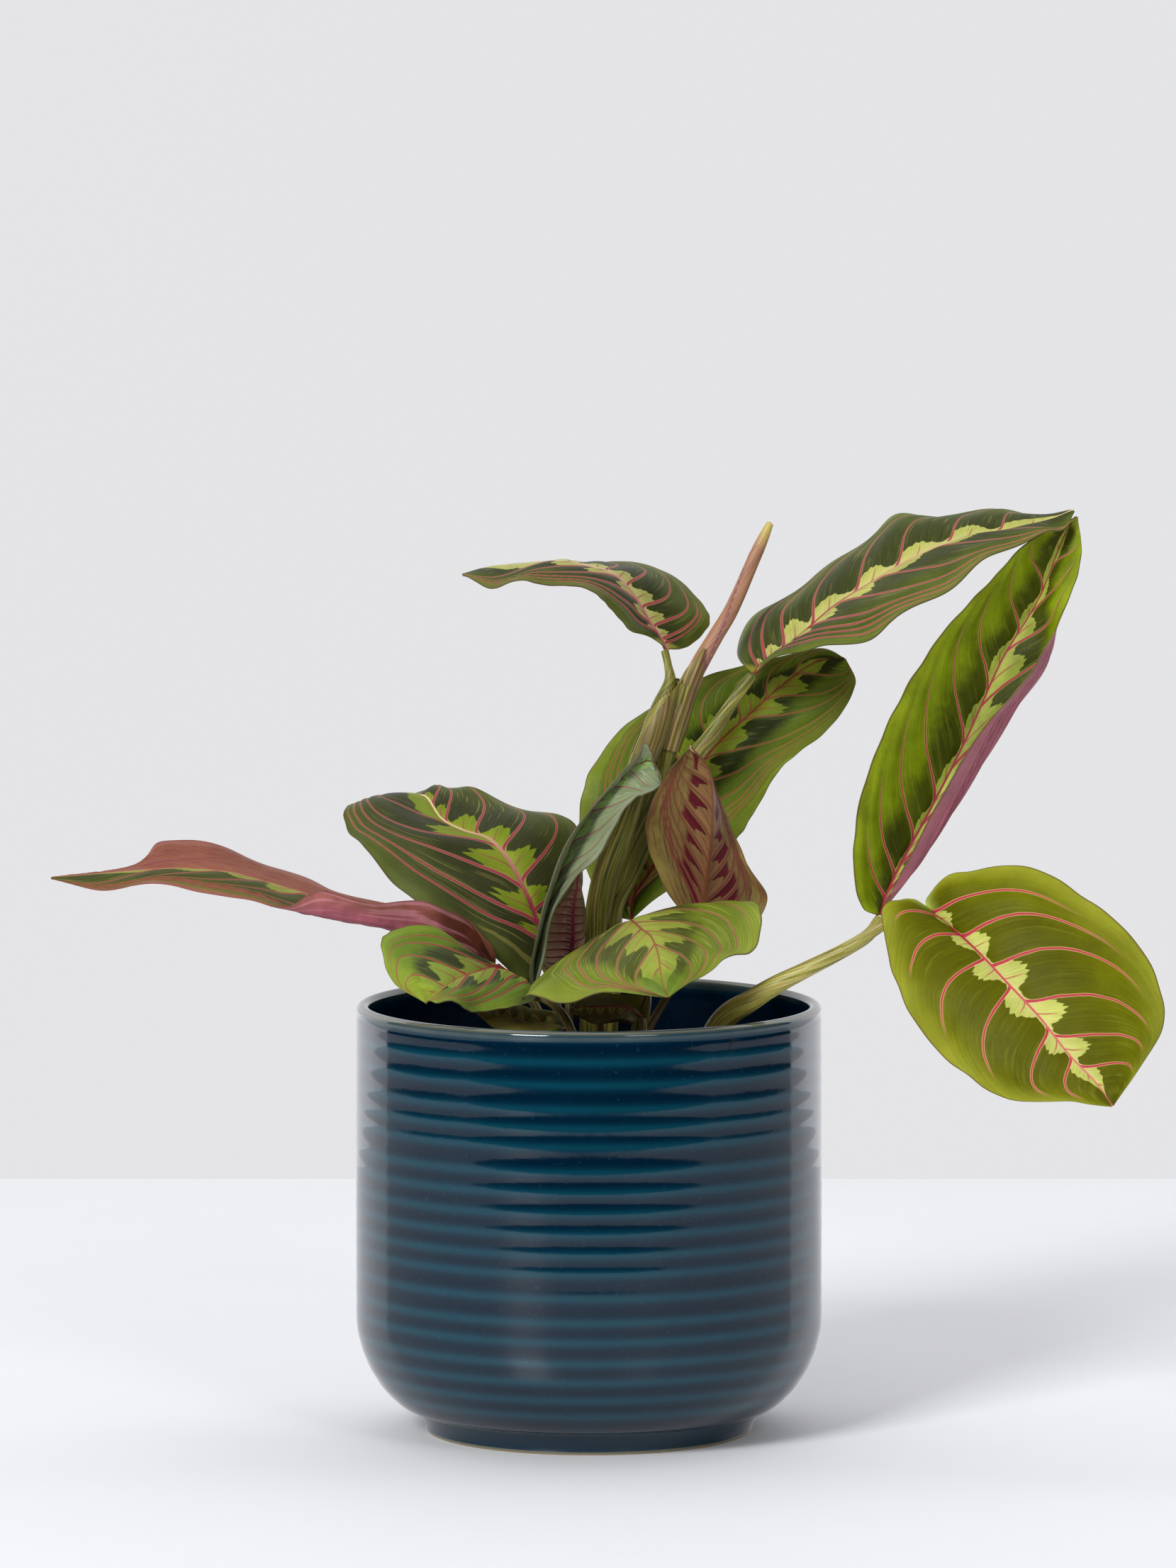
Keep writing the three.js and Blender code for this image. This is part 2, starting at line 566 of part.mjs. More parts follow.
function makeBlade(blade, net) {
  const surface = bladeSurface(blade, net)
  const columns = 2 * net.half
  const upper = []
  const lower = []
  const step = 0.004
  const addPoint = (t, v) => {
    const middlePoint = surface(t, v)
    const acrossA = surface(t, Math.max(v - 0.05, -1))
    const acrossB = surface(t, Math.min(v + 0.05, 1))
    const alongA = surface(Math.max(t - step, 0), v)
    const alongB = surface(Math.min(t + step, 1), v)
    const normal = acrossB.sub(acrossA).cross(alongB.sub(alongA)).normalize()
    upper.push(middlePoint.clone().addScaledVector(normal, bladeThickness / 2).toArray())
    lower.push(middlePoint.clone().addScaledVector(normal, -bladeThickness / 2).toArray())
  }
  const first = 0.12 / net.rows
  for (let row = 0; row <= net.rows; row += 1) {
    const t = Math.min(Math.max(row / net.rows, first), 1 - first)
    for (let column = 0; column <= columns; column += 1) {
      addPoint(t, column / net.half - 1)
    }
  }
  const across = columns + 1
  const triangles = []
  const under = upper.length
  for (let row = 0; row < net.rows; row += 1) {
    for (let column = 0; column < columns; column += 1) {
      const a = row * across + column
      const b = a + 1
      const c = a + across
      const d = c + 1
      const even = (row + column) % 2 === 0
      const pair = even ? [[a, b, d], [a, d, c]] : [[a, b, c], [b, d, c]]
      for (const [p, q, r] of pair) {
        triangles.push([p, q, r])
        triangles.push([under + p, under + r, under + q])
      }
    }
    const leftLow = row * across
    const leftHigh = leftLow + across
    triangles.push([leftLow, leftHigh, under + leftHigh])
    triangles.push([leftLow, under + leftHigh, under + leftLow])
    const rightLow = row * across + columns
    const rightHigh = rightLow + across
    triangles.push([rightLow, under + rightHigh, rightHigh])
    triangles.push([rightLow, under + rightLow, under + rightHigh])
  }
  const last = net.rows * across
  for (let column = 0; column < columns; column += 1) {
    triangles.push([column, under + column, under + column + 1])
    triangles.push([column, under + column + 1, column + 1])
    triangles.push([last + column, last + column + 1, under + last + column + 1])
    triangles.push([last + column, under + last + column + 1, under + last + column])
  }
  return toSolid([...upper, ...lower], triangles)
}

function build() {
  const group = new THREE.Group()
  const stemSolids = {}
  const stemHoles = []
  for (const [name, tubes] of Object.entries(stems)) {
    stemSolids[name] = makeStem(tubes, 0)
    stemHoles.push(makeStem(tubes, gap))
  }
  const rollHole = tube(roll, gap)
  stemSolids.stem_centre = stemSolids.stem_centre.subtract(rollHole).simplify(sliver)
  group.add(toNode('pot', makePot(), 'glaze'))
  group.add(toNode('soil', makeSoil(stemHoles), 'pottingMix'))
  for (const [name, solid] of Object.entries(stemSolids)) {
    group.add(toNode(name, solid, 'stalk'))
  }
  group.add(toNode('new_leaf_roll', tube(roll, 0), 'rolledLeaf'))
  for (const [name, blade] of Object.entries(blades)) {
    let solid = makeBlade(blade, bladeNets[name])
    for (const hole of stemHoles) {
      solid = solid.subtract(hole)
    }
    group.add(toNode(name, solid, bladeFinishes[name]))
  }
  return group
}

export default build()
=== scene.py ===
import math
from functools import partial

import bpy
import numpy as np
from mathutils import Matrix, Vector


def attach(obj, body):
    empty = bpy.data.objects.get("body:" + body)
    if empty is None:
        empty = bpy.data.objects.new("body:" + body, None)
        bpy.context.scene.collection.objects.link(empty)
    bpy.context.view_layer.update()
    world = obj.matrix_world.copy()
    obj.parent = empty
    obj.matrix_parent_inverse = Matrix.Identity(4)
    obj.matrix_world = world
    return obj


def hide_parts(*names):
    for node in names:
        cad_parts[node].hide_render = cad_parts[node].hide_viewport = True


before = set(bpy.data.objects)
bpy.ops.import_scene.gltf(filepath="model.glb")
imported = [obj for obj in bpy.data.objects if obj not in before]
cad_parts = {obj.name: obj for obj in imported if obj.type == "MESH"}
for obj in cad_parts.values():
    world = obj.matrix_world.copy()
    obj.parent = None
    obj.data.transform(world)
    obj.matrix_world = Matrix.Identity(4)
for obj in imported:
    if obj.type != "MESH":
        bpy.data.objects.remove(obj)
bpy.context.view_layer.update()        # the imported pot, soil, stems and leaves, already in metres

mm = 0.001
fullTurn = 2 * math.pi
seedBase = 4187
rng = np.random.default_rng(seedBase)
scene = bpy.context.scene
scene.view_settings.view_transform = "Standard"   # the finishes below are matched without a film curve

# What the second word of a node's kind sets, as in "Math MULTIPLY".
modes = {"Math": "operation", "Mix": "data_type", "MapRange": "interpolation_type"}


def toLinear(hexColour):
    # "#rrggbb" in sRGB to the linear values that a shader works in
    parts = [int(hexColour[k:k + 2], 16) / 255 for k in (1, 3, 5)]
    return tuple(c / 12.92 if c <= 0.04045 else ((c + 0.055) / 1.055) ** 2.4 for c in parts) + (1.0,)


def setInput(tree, socket, value):
    if isinstance(value, bpy.types.NodeSocket):
        tree.links.new(value, socket)
    elif value is not None:
        socket.default_value = toLinear(value) if isinstance(value, str) else value


def addNode(tree, kind, *inputs, out=0, stops=None, **settings):
    # one node with its settings; inputs go to its live sockets in order, None leaves one alone
    kind, _, mode = kind.partition(" ")
    node = tree.nodes.new("ShaderNode" + kind)
    if mode:
        setattr(node, modes[kind], mode)
    for key, value in settings.items():
        setattr(node, key, value)
    if stops:
        ramp = node.color_ramp
        for position, colour in stops[1:-1]:
            ramp.elements.new(position)
        ramp.elements[0].position, ramp.elements[-1].position = stops[0][0], stops[-1][0]
        for element, (position, colour) in zip(ramp.elements, stops):
            element.color = toLinear(colour) if isinstance(colour, str) else (colour, colour, colour, 1)
    for socket, value in zip([s for s in node.inputs if s.enabled], inputs):
        setInput(tree, socket, value)
    return [s for s in node.outputs if s.enabled][out] if out is not None else node


def newMaterial(name):
    material = bpy.data.materials.new(name)
    material.use_nodes = True
    material.node_tree.nodes.clear()
    return material, partial(addNode, material.node_tree)


def finishMaterial(material, colour, roughness, normal=None, ior=1.45, gloss=0.5):
    # the shader itself: uniform values sit on its own sockets
    tree = material.node_tree
    shader = addNode(tree, "BsdfPrincipled", out=None)
    for key, value in {"Base Color": colour, "Roughness": roughness, "Normal": normal, "IOR": ior,
                       "Specular IOR Level": gloss}.items():
        setInput(tree, shader.inputs[key], value)
    addNode(tree, "OutputMaterial", shader.outputs[0], out=None)
    return material


def fromMap(add, name):
    # the two numbers of a map
    return [add("SeparateXYZ", add("UVMap", uv_map=name), out=k) for k in (0, 1)]


def strands(add, x, xRate, y, yRate, layer=0.0, detail=2.0, rough=0.5):
    # noise drawn out into strands, which run the way of the lower rate
    at = add("CombineXYZ", add("Math MULTIPLY", x, xRate), add("Math MULTIPLY", y, yRate), layer)
    return add("TexNoise", at, 1.0, detail, rough)


def spline(rows, t):
    # a smooth line through the rows, the same one that the solids use
    rows = np.asarray(rows, float)
    last = len(rows) - 1
    padded = np.vstack([2 * rows[0] - rows[1], rows, 2 * rows[-1] - rows[-2]])
    place = np.clip(np.asarray(t, float) * last, 0, last)
    i = np.minimum(place.astype(int), last - 1)
    f = (place - i)[:, None]
    a, b, c, d = padded[i], padded[i + 1], padded[i + 2], padded[i + 3]
    return 0.5 * (2 * b + (c - a) * f + (2 * a - 5 * b + 4 * c - d) * f ** 2 + (3 * b - a - 3 * c + d) * f ** 3)


def smooth(x, low, high):
    u = np.clip((x - low) / (high - low), 0, 1)
    return u * u * (3 - 2 * u)


def wander(x, y, seed, size=1.0):
    # gentle repeatable unevenness between about -1 and 1, for points x, y
    local = np.random.default_rng(seedBase + seed)
    total = 0
    for k in range(7):
        angle, phase = local.uniform(0, fullTurn, 2)
        rate = local.uniform(0.6, 1.9) / size
        total = total + np.sin(rate * (x * np.cos(angle) + y * np.sin(angle)) + phase)
    return total / 3.2


def lengthOf(rows):
    # the length of the straight line through the rows
    return np.linalg.norm(np.diff(np.array(rows, float)[:, :3], axis=0), axis=1).sum()


def ringFaces(rings, count, start=0):
    # the faces between rings of count points each
    corners = start + np.arange(rings * count).reshape(rings, count)
    after = np.roll(corners, -1, axis=1)
    return np.stack([corners[:-1], after[:-1], after[1:], corners[1:]], -1).reshape(-1, 4).tolist()


def makeObject(name, points, faces, materials, slots=None, maps=None, sharp=50):
    # a mesh object in metres from points in mm; each map gives two numbers a point or a face's corner
    mesh = bpy.data.meshes.new(name)
    mesh.from_pydata((np.asarray(points) * mm).tolist(), [], faces)
    for material in materials:
        mesh.materials.append(material)
    if slots is not None:
        mesh.polygons.foreach_set("material_index", np.asarray(slots, np.int32))
    corners = np.empty(len(mesh.loops), np.int32)
    mesh.loops.foreach_get("vertex_index", corners)
    for key, values in (maps or {}).items():
        values = np.asarray(values, np.float32)
        layer = mesh.uv_layers.new(name=key)
        layer.data.foreach_set("uv", (values if len(values) == len(corners) else values[corners]).ravel())
    mesh.polygons.foreach_set("use_smooth", np.ones(len(mesh.polygons), bool))
    mesh.validate()
    mesh.set_sharp_from_angle(angle=math.radians(sharp))
    mesh.update()
    thing = bpy.data.objects.new(name, mesh)
    scene.collection.objects.link(thing)
    return thing


def place(thing, node, slotName):
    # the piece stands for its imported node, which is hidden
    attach(thing, "root")
    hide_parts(node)


# The pot: stoneware, slip cast and dipped in a blue gloss glaze. The glaze runs off the ribs and
# the lip while it melts, so they show paler and teal, and it pools dark between the ribs.
pot = {
    "height": 133.5, "belly": 72.4, "rim": 72.1, "wall": 4.0, "foot": 50.8, "footHeight": 6.6,
    "groove": 54.0, "rounding": 36.0, "floorTop": 10.0, "bodyFrom": 8.0, "lipFrom": 129.0,
    # radius, height and mark (3 is bare clay) from the middle of the underside to the foot's edge
    "underside": [(0, 0.25, 3), (30, 0.25, 3), (46, 0.3, 3), (48, 0, 3), (49.9, 0, 3), (50.35, 0.12, 2.9),
                  (50.7, 0.45, 2.62), (50.8, 0.9, 1.9)],
    "crests": [14.1, 19.6, 25.5, 31.6, 38.2, 44.3, 51.7, 59.1, 65, 71.3, 77.6, 84, 90.3, 98.1, 103.8,
               109.7, 117.1, 124.1],
    "halfRibs": (8.6, 131.0),    # where the next crests below and above would be
    "crestWidth": 1.7, "swell": 0.065, "unevenness": 0.10, "segments": 216, "step": 0.42, "insideStep": 2.4,
    "pooled": "#00192b", "glaze": "#022738", "thin": "#053a4a", "fleck": "#1d4c58", "lip": "#6b6b5a",
    "bare": "#c9b79a", "grog": "#a08767", "roughness": 0.07, "bareRoughness": 0.75, "ior": 1.5,
}


def bodyRadius(height):
    up = np.clip((height - pot["rounding"]) / (pot["height"] - pot["rounding"]), 0, 1)
    straight = pot["belly"] - (pot["belly"] - pot["rim"]) * up ** 4
    down = np.clip((pot["rounding"] - height) / (pot["rounding"] - pot["footHeight"] + 0.4), 0, 1)
    low = pot["groove"] - 1.5
    return np.where(height >= pot["rounding"], straight, low + (pot["belly"] - low) * (1 - down ** 1.8) ** 0.6)


def glazeMaterial():
    # Stoneware glaze: glass over clay. It gives a deep blue, sharp reflections and pale thin edges.
    material, add = newMaterial("stonewareBlueGlaze")
    thin, mark = fromMap(add, "glaze")
    where = add("TexCoord", out=3)
    cloud = add("TexNoise", where, 28.0, 4.0, 0.6)            # about 35 mm: slow changes of depth
    fleck = add("TexNoise", where, 900.0, 2.0, 0.5)           # about 1 mm: tiny bubbles in the glass
    shade = add("Math ADD", thin, add("Math MULTIPLY_ADD", cloud, 0.35, -0.17))
    colour = add("ValToRGB", shade, stops=[(0.0, pot["pooled"]), (0.45, pot["glaze"]), (1.0, pot["thin"])])
    colour = add("Mix RGBA", add("MapRange", fleck, 0.66, 0.72, 0.0, 0.3), colour, pot["fleck"])
    lip = add("MapRange", add("Math ADD", mark, add("Math MULTIPLY", cloud, 0.8)), 1.15, 2.3)
    colour = add("Mix RGBA", lip, colour, pot["lip"])
    bare = add("MapRange", mark, 2.55, 2.7)
    grit = add("TexNoise", where, 1400.0, 3.0, 0.6)           # about 0.7 mm: grog in the bare clay
    colour = add("Mix RGBA", bare, colour, add("Mix RGBA", grit, pot["bare"], pot["grog"]))
    roughness = add("MapRange", bare, 0.0, 1.0, pot["roughness"], pot["bareRoughness"])
    ripple = add("TexNoise", where, 260.0, 2.0, 0.5)          # about 4 mm: the skin of the melted glass
    return finishMaterial(material, colour, roughness, add("Bump", 0.25, 0.00006, None, ripple), pot["ior"])


def makePot():
    foot, groove, footTop, bodyFrom, lipFrom = (
        pot[key] for key in ("foot", "groove", "footHeight", "bodyFrom", "lipFrom"))
    rows = list(pot["underside"])
    bevel = rows[-1][1]
    for z in np.arange(1.3, footTop, 0.45):
        rows.append((foot + (groove - foot) * ((z - bevel) / (footTop - bevel)) ** 1.5, z, 0.4))
    for z in np.arange(footTop + 0.15, bodyFrom, 0.3):
        rows.append((groove + (bodyRadius(bodyFrom) - groove) * smooth(z, footTop, bodyFrom + 0.3), z, 0.6))
    # the glaze levels out over the thrown ribs, so its skin only swells by its own depth there
    low, high = pot["halfRibs"]
    crests = np.array([low] + pot["crests"] + [high])
    for z in np.arange(bodyFrom + 0.2, lipFrom + 0.5, pot["step"]):
        turn = np.interp(z, crests, np.arange(len(crests)))      # whole numbers are crests
        fade = 1 - smooth(z, lipFrom - 4, lipFrom)
        rows.append((bodyRadius(z) - pot["swell"] * math.sin(math.pi * turn) ** 2 * fade, z, 0))
    half = pot["wall"] / 2
    for angle in np.linspace(-0.5, math.pi + 0.5, 26):
        aside = abs(angle - math.pi / 2)
        rows.append((pot["rim"] - half + half * math.cos(angle) * (1.0 if aside < 1.6 else 0.995),
                     pot["height"] - 1.7 + 1.7 * math.sin(angle), 1.0 + 0.95 * math.exp(-((aside - 0.8) / 0.27) ** 2)))
    floor = pot["floorTop"]
    rows += [(bodyRadius(z - 2) - pot["wall"], z, 0) for z in np.arange(lipFrom, floor + 2, -pot["insideStep"])]
    rows += [(r, floor, 0) for r in (48, 24, 0)]
    count = pot["segments"]
    angles = np.arange(count) * fullTurn / count
    points, thin = [], []
    for r, z, mark in rows:
        sway = pot["unevenness"] * wander(np.cos(angles) * 3, np.sin(angles) * 3 + z / 40, 5, 1.4)
        sway = sway * smooth(z, 3, 20) * (r > 55)
        outside = bodyFrom < z < lipFrom - 1 and r > bodyRadius(z) - 1.5
        ring = r + sway * 0.4 * (z < lipFrom)
        points.append(np.stack([ring * np.cos(angles), ring * np.sin(angles), z + sway * 1.2 * outside], -1))
        # how far the nearest thin place is: the crests, the foot's groove and the lip's edges
        near = np.abs(crests[1:-1] - z).min() if outside else 9
        near = 0.8 if mark >= 1 and z > lipFrom - 1 else 1.6 if z < bodyFrom else near
        thin.append(np.full((count, 2), (math.exp(-(near / pot["crestWidth"]) ** 2), mark)))
    faces = ringFaces(len(rows), count)
    thing = makeObject("glazedPot", np.concatenate(points), faces, [glazeMaterial()],
                       maps={"glaze": np.concatenate(thin)}, sharp=60)
    weld = thing.modifiers.new("closeCentres", "WELD")         # the two centres of the turned outline
    weld.merge_threshold = 1e-6
    place(thing, "pot", "pot_glaze")
    print("pot: %d faces" % len(faces))


# The soil: peat based potting mix, crumbly and damp, so it is nearly black and barely shines.
soil = {
    "top": 113.0, "gap": 0.3, "depth": 6, "bump": 1.1, "rings": 52, "around": 168, "crumbs": 900,
    "crumbSize": (0.5, 2.2), "dark": "#17110d", "peat": "#2c2018", "light": "#4a382a", "perlite": "#b8b2a4",
    "roughness": 0.93,
}


def soilHeight(x, y):
    broad = np.sin(x * 0.11 + 1.3) * np.cos(y * 0.13 - 0.4)
    return soil["top"] + soil["bump"] * (broad + np.sin(x * 0.37 + y * 0.29) * 0.45)


def pottingMaterial():
    material, add = newMaterial("dampPottingMix")
    where = add("TexCoord", out=3)
    crumb = add("TexNoise", where, 420.0, 6.0, 0.7)           # about 2.4 mm: peat crumbs
    colour = add("ValToRGB", crumb, stops=[(0.3, soil["dark"]), (0.55, soil["peat"]), (0.8, soil["light"])])
    cell = add("TexVoronoi", where, 260.0, out=0)
    speck = add("MapRange", cell, 0.13, 0.08, 0.0, 0.6)       # about 1 mm: a few grains of perlite
    rare = add("MapRange", add("TexNoise", where, 90.0, 1.0, 0.5), 0.6, 0.66)
    colour = add("Mix RGBA", add("Math MULTIPLY", speck, rare), colour, soil["perlite"])
    return finishMaterial(material, colour, soil["roughness"], add("Bump", 0.9, 0.0012, None, crumb))


def makeSoil():
    radius = float(bodyRadius(soil["top"])) - pot["wall"] - soil["gap"]
    rings, count, bottom = soil["rings"], soil["around"], soil["top"] - soil["depth"]
    angles = np.arange(count) * fullTurn / count
    points = [[0, 0, float(soilHeight(0, 0))]]
    for k in range(1, rings + 1):
        x, y = radius * k / rings * np.cos(angles), radius * k / rings * np.sin(angles)
        lumps = (0.9 * wander(x, y, 21, 4) + 0.5 * wander(x, y, 22, 1.6)) * (1 - smooth(k, rings - 3, rings))
        points += np.stack([x, y, soilHeight(x, y) - 0.6 + lumps], -1).tolist()
    points += [[x, y, bottom] for x, y, _ in points[-count:]] + [[0, 0, bottom]]
    faces = [face[::-1] for face in ringFaces(rings + 1, count, 1)]
    last = 1 + rings * count
    for i in range(count):
        j = (i + 1) % count
        faces += [(0, 1 + i, 1 + j), (last + j, last + i, last + count)]
    for _ in range(soil["crumbs"]):
        r, a = radius * 0.97 * math.sqrt(rng.random()), rng.random() * fullTurn
        size = rng.uniform(*soil["crumbSize"]) * (0.6 + 0.4 * rng.random())
        x, y = r * math.cos(a), r * math.sin(a)
        # an uneven octahedron, its corners on the three axes in turn
        corners = np.kron(np.eye(3), [[1], [-1]]) * rng.uniform(0.55, 1.0, 3) * size
        corners = corners + rng.normal(0, 0.18 * size, (6, 3))
        start = len(points)
        points += (corners + [x, y, soilHeight(x, y) + size * 0.1 - 0.4]).tolist()
        for i, j in ((0, 2), (2, 1), (1, 3), (3, 0)):
            faces += [(start + i, start + j, start + 4), (start + j, start + i, start + 5)]
    thing = makeObject("pottingMix", points, faces, [pottingMaterial()], sharp=75)
    place(thing, "soil", "potting_mix")
    print("soil: %d faces" % len(faces))


# Stems, as x, y, z and radius in mm from the soil up, the same as in the solids.
stems = {
    "stem_centre": [
        [[.5, 8, 112, 3.6], [1.5, 7, 149, 3.8], [4.5, 5, 169.5, 4.2], [10.5, 3, 188.5, 4.1], [15.5, 2, 206, 3.8],
         [19.5, 2, 216.5, 3.8], [22.5, 3, 225, 3.3], [25, 4, 233, 1.9], [24.5, 5, 238, 1.25], [23.5, 6, 242.5, 1.2]],
        [[3.5, 10, 112, 3.2], [6, 10, 153.5, 3], [11.5, 9, 178, 3], [18.5, 8, 193.5, 2.9], [22.5, 7, 206.5, 2.9],
         [25.5, 6, 215.5, 3.3], [28, 6, 224.5, 3.6], [30.5, 6, 232, 3.7]],
        [[5.5, 6, 112, 2.6], [7, 6, 136, 2.5], [8, 8, 160, 2.5], [13, 9, 172, 2.4], [18.5, 9, 184.5, 2.4],
         [26, 8, 199.5, 2.4], [34, 8, 211, 2.6], [37.5, 8, 215.5, 2.4], [44, 9, 225.5, 1.9], [50.5, 10, 234.5, 1.5]],
        [[6, 11, 112, 2.2], [8.5, 10.5, 139.5, 1.9], [12.5, 10, 157, 1.4]],
    ],
    "stem_front": [
        [[14, -4, 112, 2.6], [16, -4, 128, 2.6], [17, -2, 137, 2.2], [14.5, 0, 147, 1.6], [12, -0.1, 155, 1.1]],
    ],
    "stem_russet": [
        [[9.5, -18, 112, 1.4], [18, -16, 127, 1.3], [23.5, -12, 136, 1.2], [31, -5, 146.5, 1.1], [35, -1, 151.5, 1]],
    ],
    "stem_folded": [
        [[3.5, -10, 112, 1.4], [3, -12, 129.5, 1.3], [-3.5, -13, 135.5, 1.3], [-12, -13, 138, 1.2],
         [-16.5, -12, 138.5, 1.1]],
    ],
    "stem_front_left": [
        [[-2, -25, 112, 1.5], [-4, -26, 124, 1.4], [-7.5, -27, 132.5, 1.3], [-12, -27.5, 137, 1.2],
         [-16.4, -27, 138.7, 1.1]],
    ],
    "stem_far_left": [
        [[-12, -4, 112, 1.5], [-14, -4, 127, 1.4], [-20, -4, 138, 1.3], [-28.6, -2, 145.2, 1.1]],
    ],
    "stem_broad_left": [
        [[-9, 8, 112, 1.6], [-9.5, 8, 127.5, 1.5], [-12, 7, 140, 1.3], [-15, 7, 146.5, 1.2]],
    ],
    "stem_right": [
        [[31.5, -24, 112, 3.2], [40.5, -34, 131.5, 3.7], [50, -37, 139, 3.3], [57.5, -39, 144, 2.9],
         [66, -40, 148.5, 2.5], [76.5, -41, 154, 2.2], [85, -40, 159, 2], [89, -37.2, 164.2, 1.5]],
        [[76.5, -41, 154, 1.9], [83, -42, 158, 1.8], [89.5, -43, 162.5, 1.6], [96, -43, 166, 1.3],
         [102.5, -44, 167.5, 1.1]],
    ],
    "stem_small_underside": [
        [[-5, 0, 112, 1.2], [-6, -1, 128, 1.1], [-7, -2, 140.3, 1]],
    ],
    "stem_shade_left": [
        [[-1, -20, 112, 1.3], [-3, -20, 121, 1.2], [-8, -20, 128, 1]],
    ],
    "stem_shade_front": [
        [[15, -34, 112, 1.3], [17, -30, 123, 1.2], [16.5, -26, 131.6, 1]],
    ],
}

# Stems and leaf stalks: juicy yellow-green stalks with fine lengthwise ridges and, lower down,
# brown-edged sheaths. The skin is smooth, so they take a soft gloss.
stalk = {
    "sides": 26, "step": 1.6, "ridges": 9, "ridgeHeight": 0.035, "soilLevel": 112, "rootDepth": 11.6, "ior": 1.42,
    "mapStride": 150, "sheathMap": 300,      # where each further stalk's and the sheaths' stripes start
    "finishes": {
        # light, green and shaded skin (painted light on the ridges, the green between, painted shade in the furrows),
        # the brown stripes and their share, roughness
        "greenLeafStalk": ("#a59a48", "#6e7222", "#4a4a12", "#6b3f30", 0.35, 0.42),
        "paleLeafStalk": ("#ccc07a", "#a09c44", "#706a22", "#84563a", 0.3, 0.42),
        "rosyLeafStalk": ("#94865a", "#6c6a34", "#4e4424", "#8a4a4c", 0.7, 0.42),
        "leafSheath": ("#a08a58", "#77702e", "#554a1c", "#5e2c2c", 0.8, 0.5),
    },
    "kinds": {"stem_centre": "greenLeafStalk", "stem_front": "greenLeafStalk", "stem_right": "paleLeafStalk"},
}


def stalkMaterial(name):
    light, green, shade, stripe, stripes, roughness = stalk["finishes"][name]
    material, add = newMaterial(name)
    length, girth = fromMap(add, "stalk")
    ridges = strands(add, length, 0.035, girth, 1.1, 0.0, 3.0, 0.6)          # about 0.6 mm apart
    bands = strands(add, length, 0.02, girth, 0.5, 4.0)
    hairs = strands(add, length, 0.02, girth, 3.4, 9.0)
    cloud = add("TexNoise", add("TexCoord", out=3), 60.0, 3.0, 0.6)
    # painted shade in the furrows and painted light on the ridge tops, on the same strands that raise the ridges' bump
    colour = add("ValToRGB", ridges, stops=[(0.36, shade), (0.5, green), (0.64, light)])
    warm = add("MapRange SMOOTHSTEP", bands, 0.5, 0.6, 0.0, stripes)
    warm = add("Math MULTIPLY", warm, add("MapRange", hairs, 0.4, 0.6, 0.25, 1.0))
    colour = add("Mix RGBA", warm, colour, stripe)
    colour = add("Mix RGBA", add("MapRange SMOOTHSTEP", hairs, 0.56, 0.66, 0.0, 0.55), colour, stripe)
    tone = add("MapRange", cloud, 0.3, 0.7, 0.85, 1.12)
    colour = add("Mix RGBA", 1.0, colour, add("CombineXYZ", tone, tone, tone), blend_type="MULTIPLY")
    return finishMaterial(material, colour, roughness, add("Bump", 0.5, 0.0002, None, ridges), stalk["ior"])


def lineAlong(rows, step):
    # the spline through the rows with its direction, about a step apart
    line = spline(rows, np.linspace(0, 1, max(8, int(lengthOf(rows) / step)) + 1))
    tangent = np.gradient(line[:, :3], axis=0)
    return line, tangent / np.linalg.norm(tangent, axis=1)[:, None]


def tubeRings(rows, sides, step, ridge=0.0):
    line, tangent = lineAlong(rows, step)
    along = np.concatenate([[0], np.cumsum(np.linalg.norm(np.diff(line[:, :3], axis=0), axis=1))])
    angle = np.arange(sides) * fullTurn / sides
    side, rings = np.array([1.0, 0, 0]), []
    for k in range(len(line)):
        side = side - tangent[k] * side.dot(tangent[k])
        side = side / np.linalg.norm(side)
        r = line[k, 3] * (1 + ridge * np.cos(stalk["ridges"] * angle))
        rings.append(line[k, :3] + (r * np.cos(angle))[:, None] * side
                     + (r * np.sin(angle))[:, None] * np.cross(tangent[k], side))
    return np.array(rings), along, line[:, 3], tangent


def tubeMesh(rings, along, radius, tips):
    # a closed tube, and the length and girth in mm at each corner of its faces
    count, sides = rings.shape[:2]
    points, faces, maps = rings.reshape(-1, 3).tolist() + np.array(tips).tolist(), ringFaces(count, sides), []
    for k in range(count - 1):
        for i in range(sides):
            g0, g1 = [fullTurn * radius[k] * x / sides for x in (i, i + 1)]
            maps += [(along[k], g0), (along[k], g1), (along[k + 1], g1), (along[k + 1], g0)]
    for end, ring in ((0, 0), (1, count - 1)):
        for i in range(sides):
            a, b = ring * sides + i, ring * sides + (i + 1) % sides
            faces.append((a, b, count * sides + 1) if end else (b, a, count * sides))
            maps += [(along[ring], 0), (along[ring], 1), (along[ring], 0.5)]
    return points, faces, maps


# Sheaths: the thin clasping base of the next leaf, open at one side and ending in a point or a
# blunt lip. Each row is x, y, z and radius in mm, then the way the opening faces and how far each
# side clasps, in degrees.
sheath = {
    "thickness": 0.28, "columns": 22, "step": 0.9,
    "pointed": [
        [24.5, 6.0, 212, 3.7, 100, 168], [27.2, 6.0, 221, 3.95, 98, 158], [29.6, 6.0, 228, 3.6, 95, 128],
        [32.0, 6.0, 234, 3.45, 90, 74], [34.3, 6.0, 239, 3.3, 84, 30], [36.2, 6.0, 243.5, 3.15, 80, 5]],
    "blunt": [
        [17.2, 2.0, 210, 4.35, 205, 165], [20.2, 2.2, 218, 4.3, 205, 150], [22.9, 3.1, 225.5, 3.8, 205, 118],
        [25.2, 3.9, 231.5, 3.05, 205, 84], [26.2, 4.2, 234.6, 2.75, 205, 42]],
}


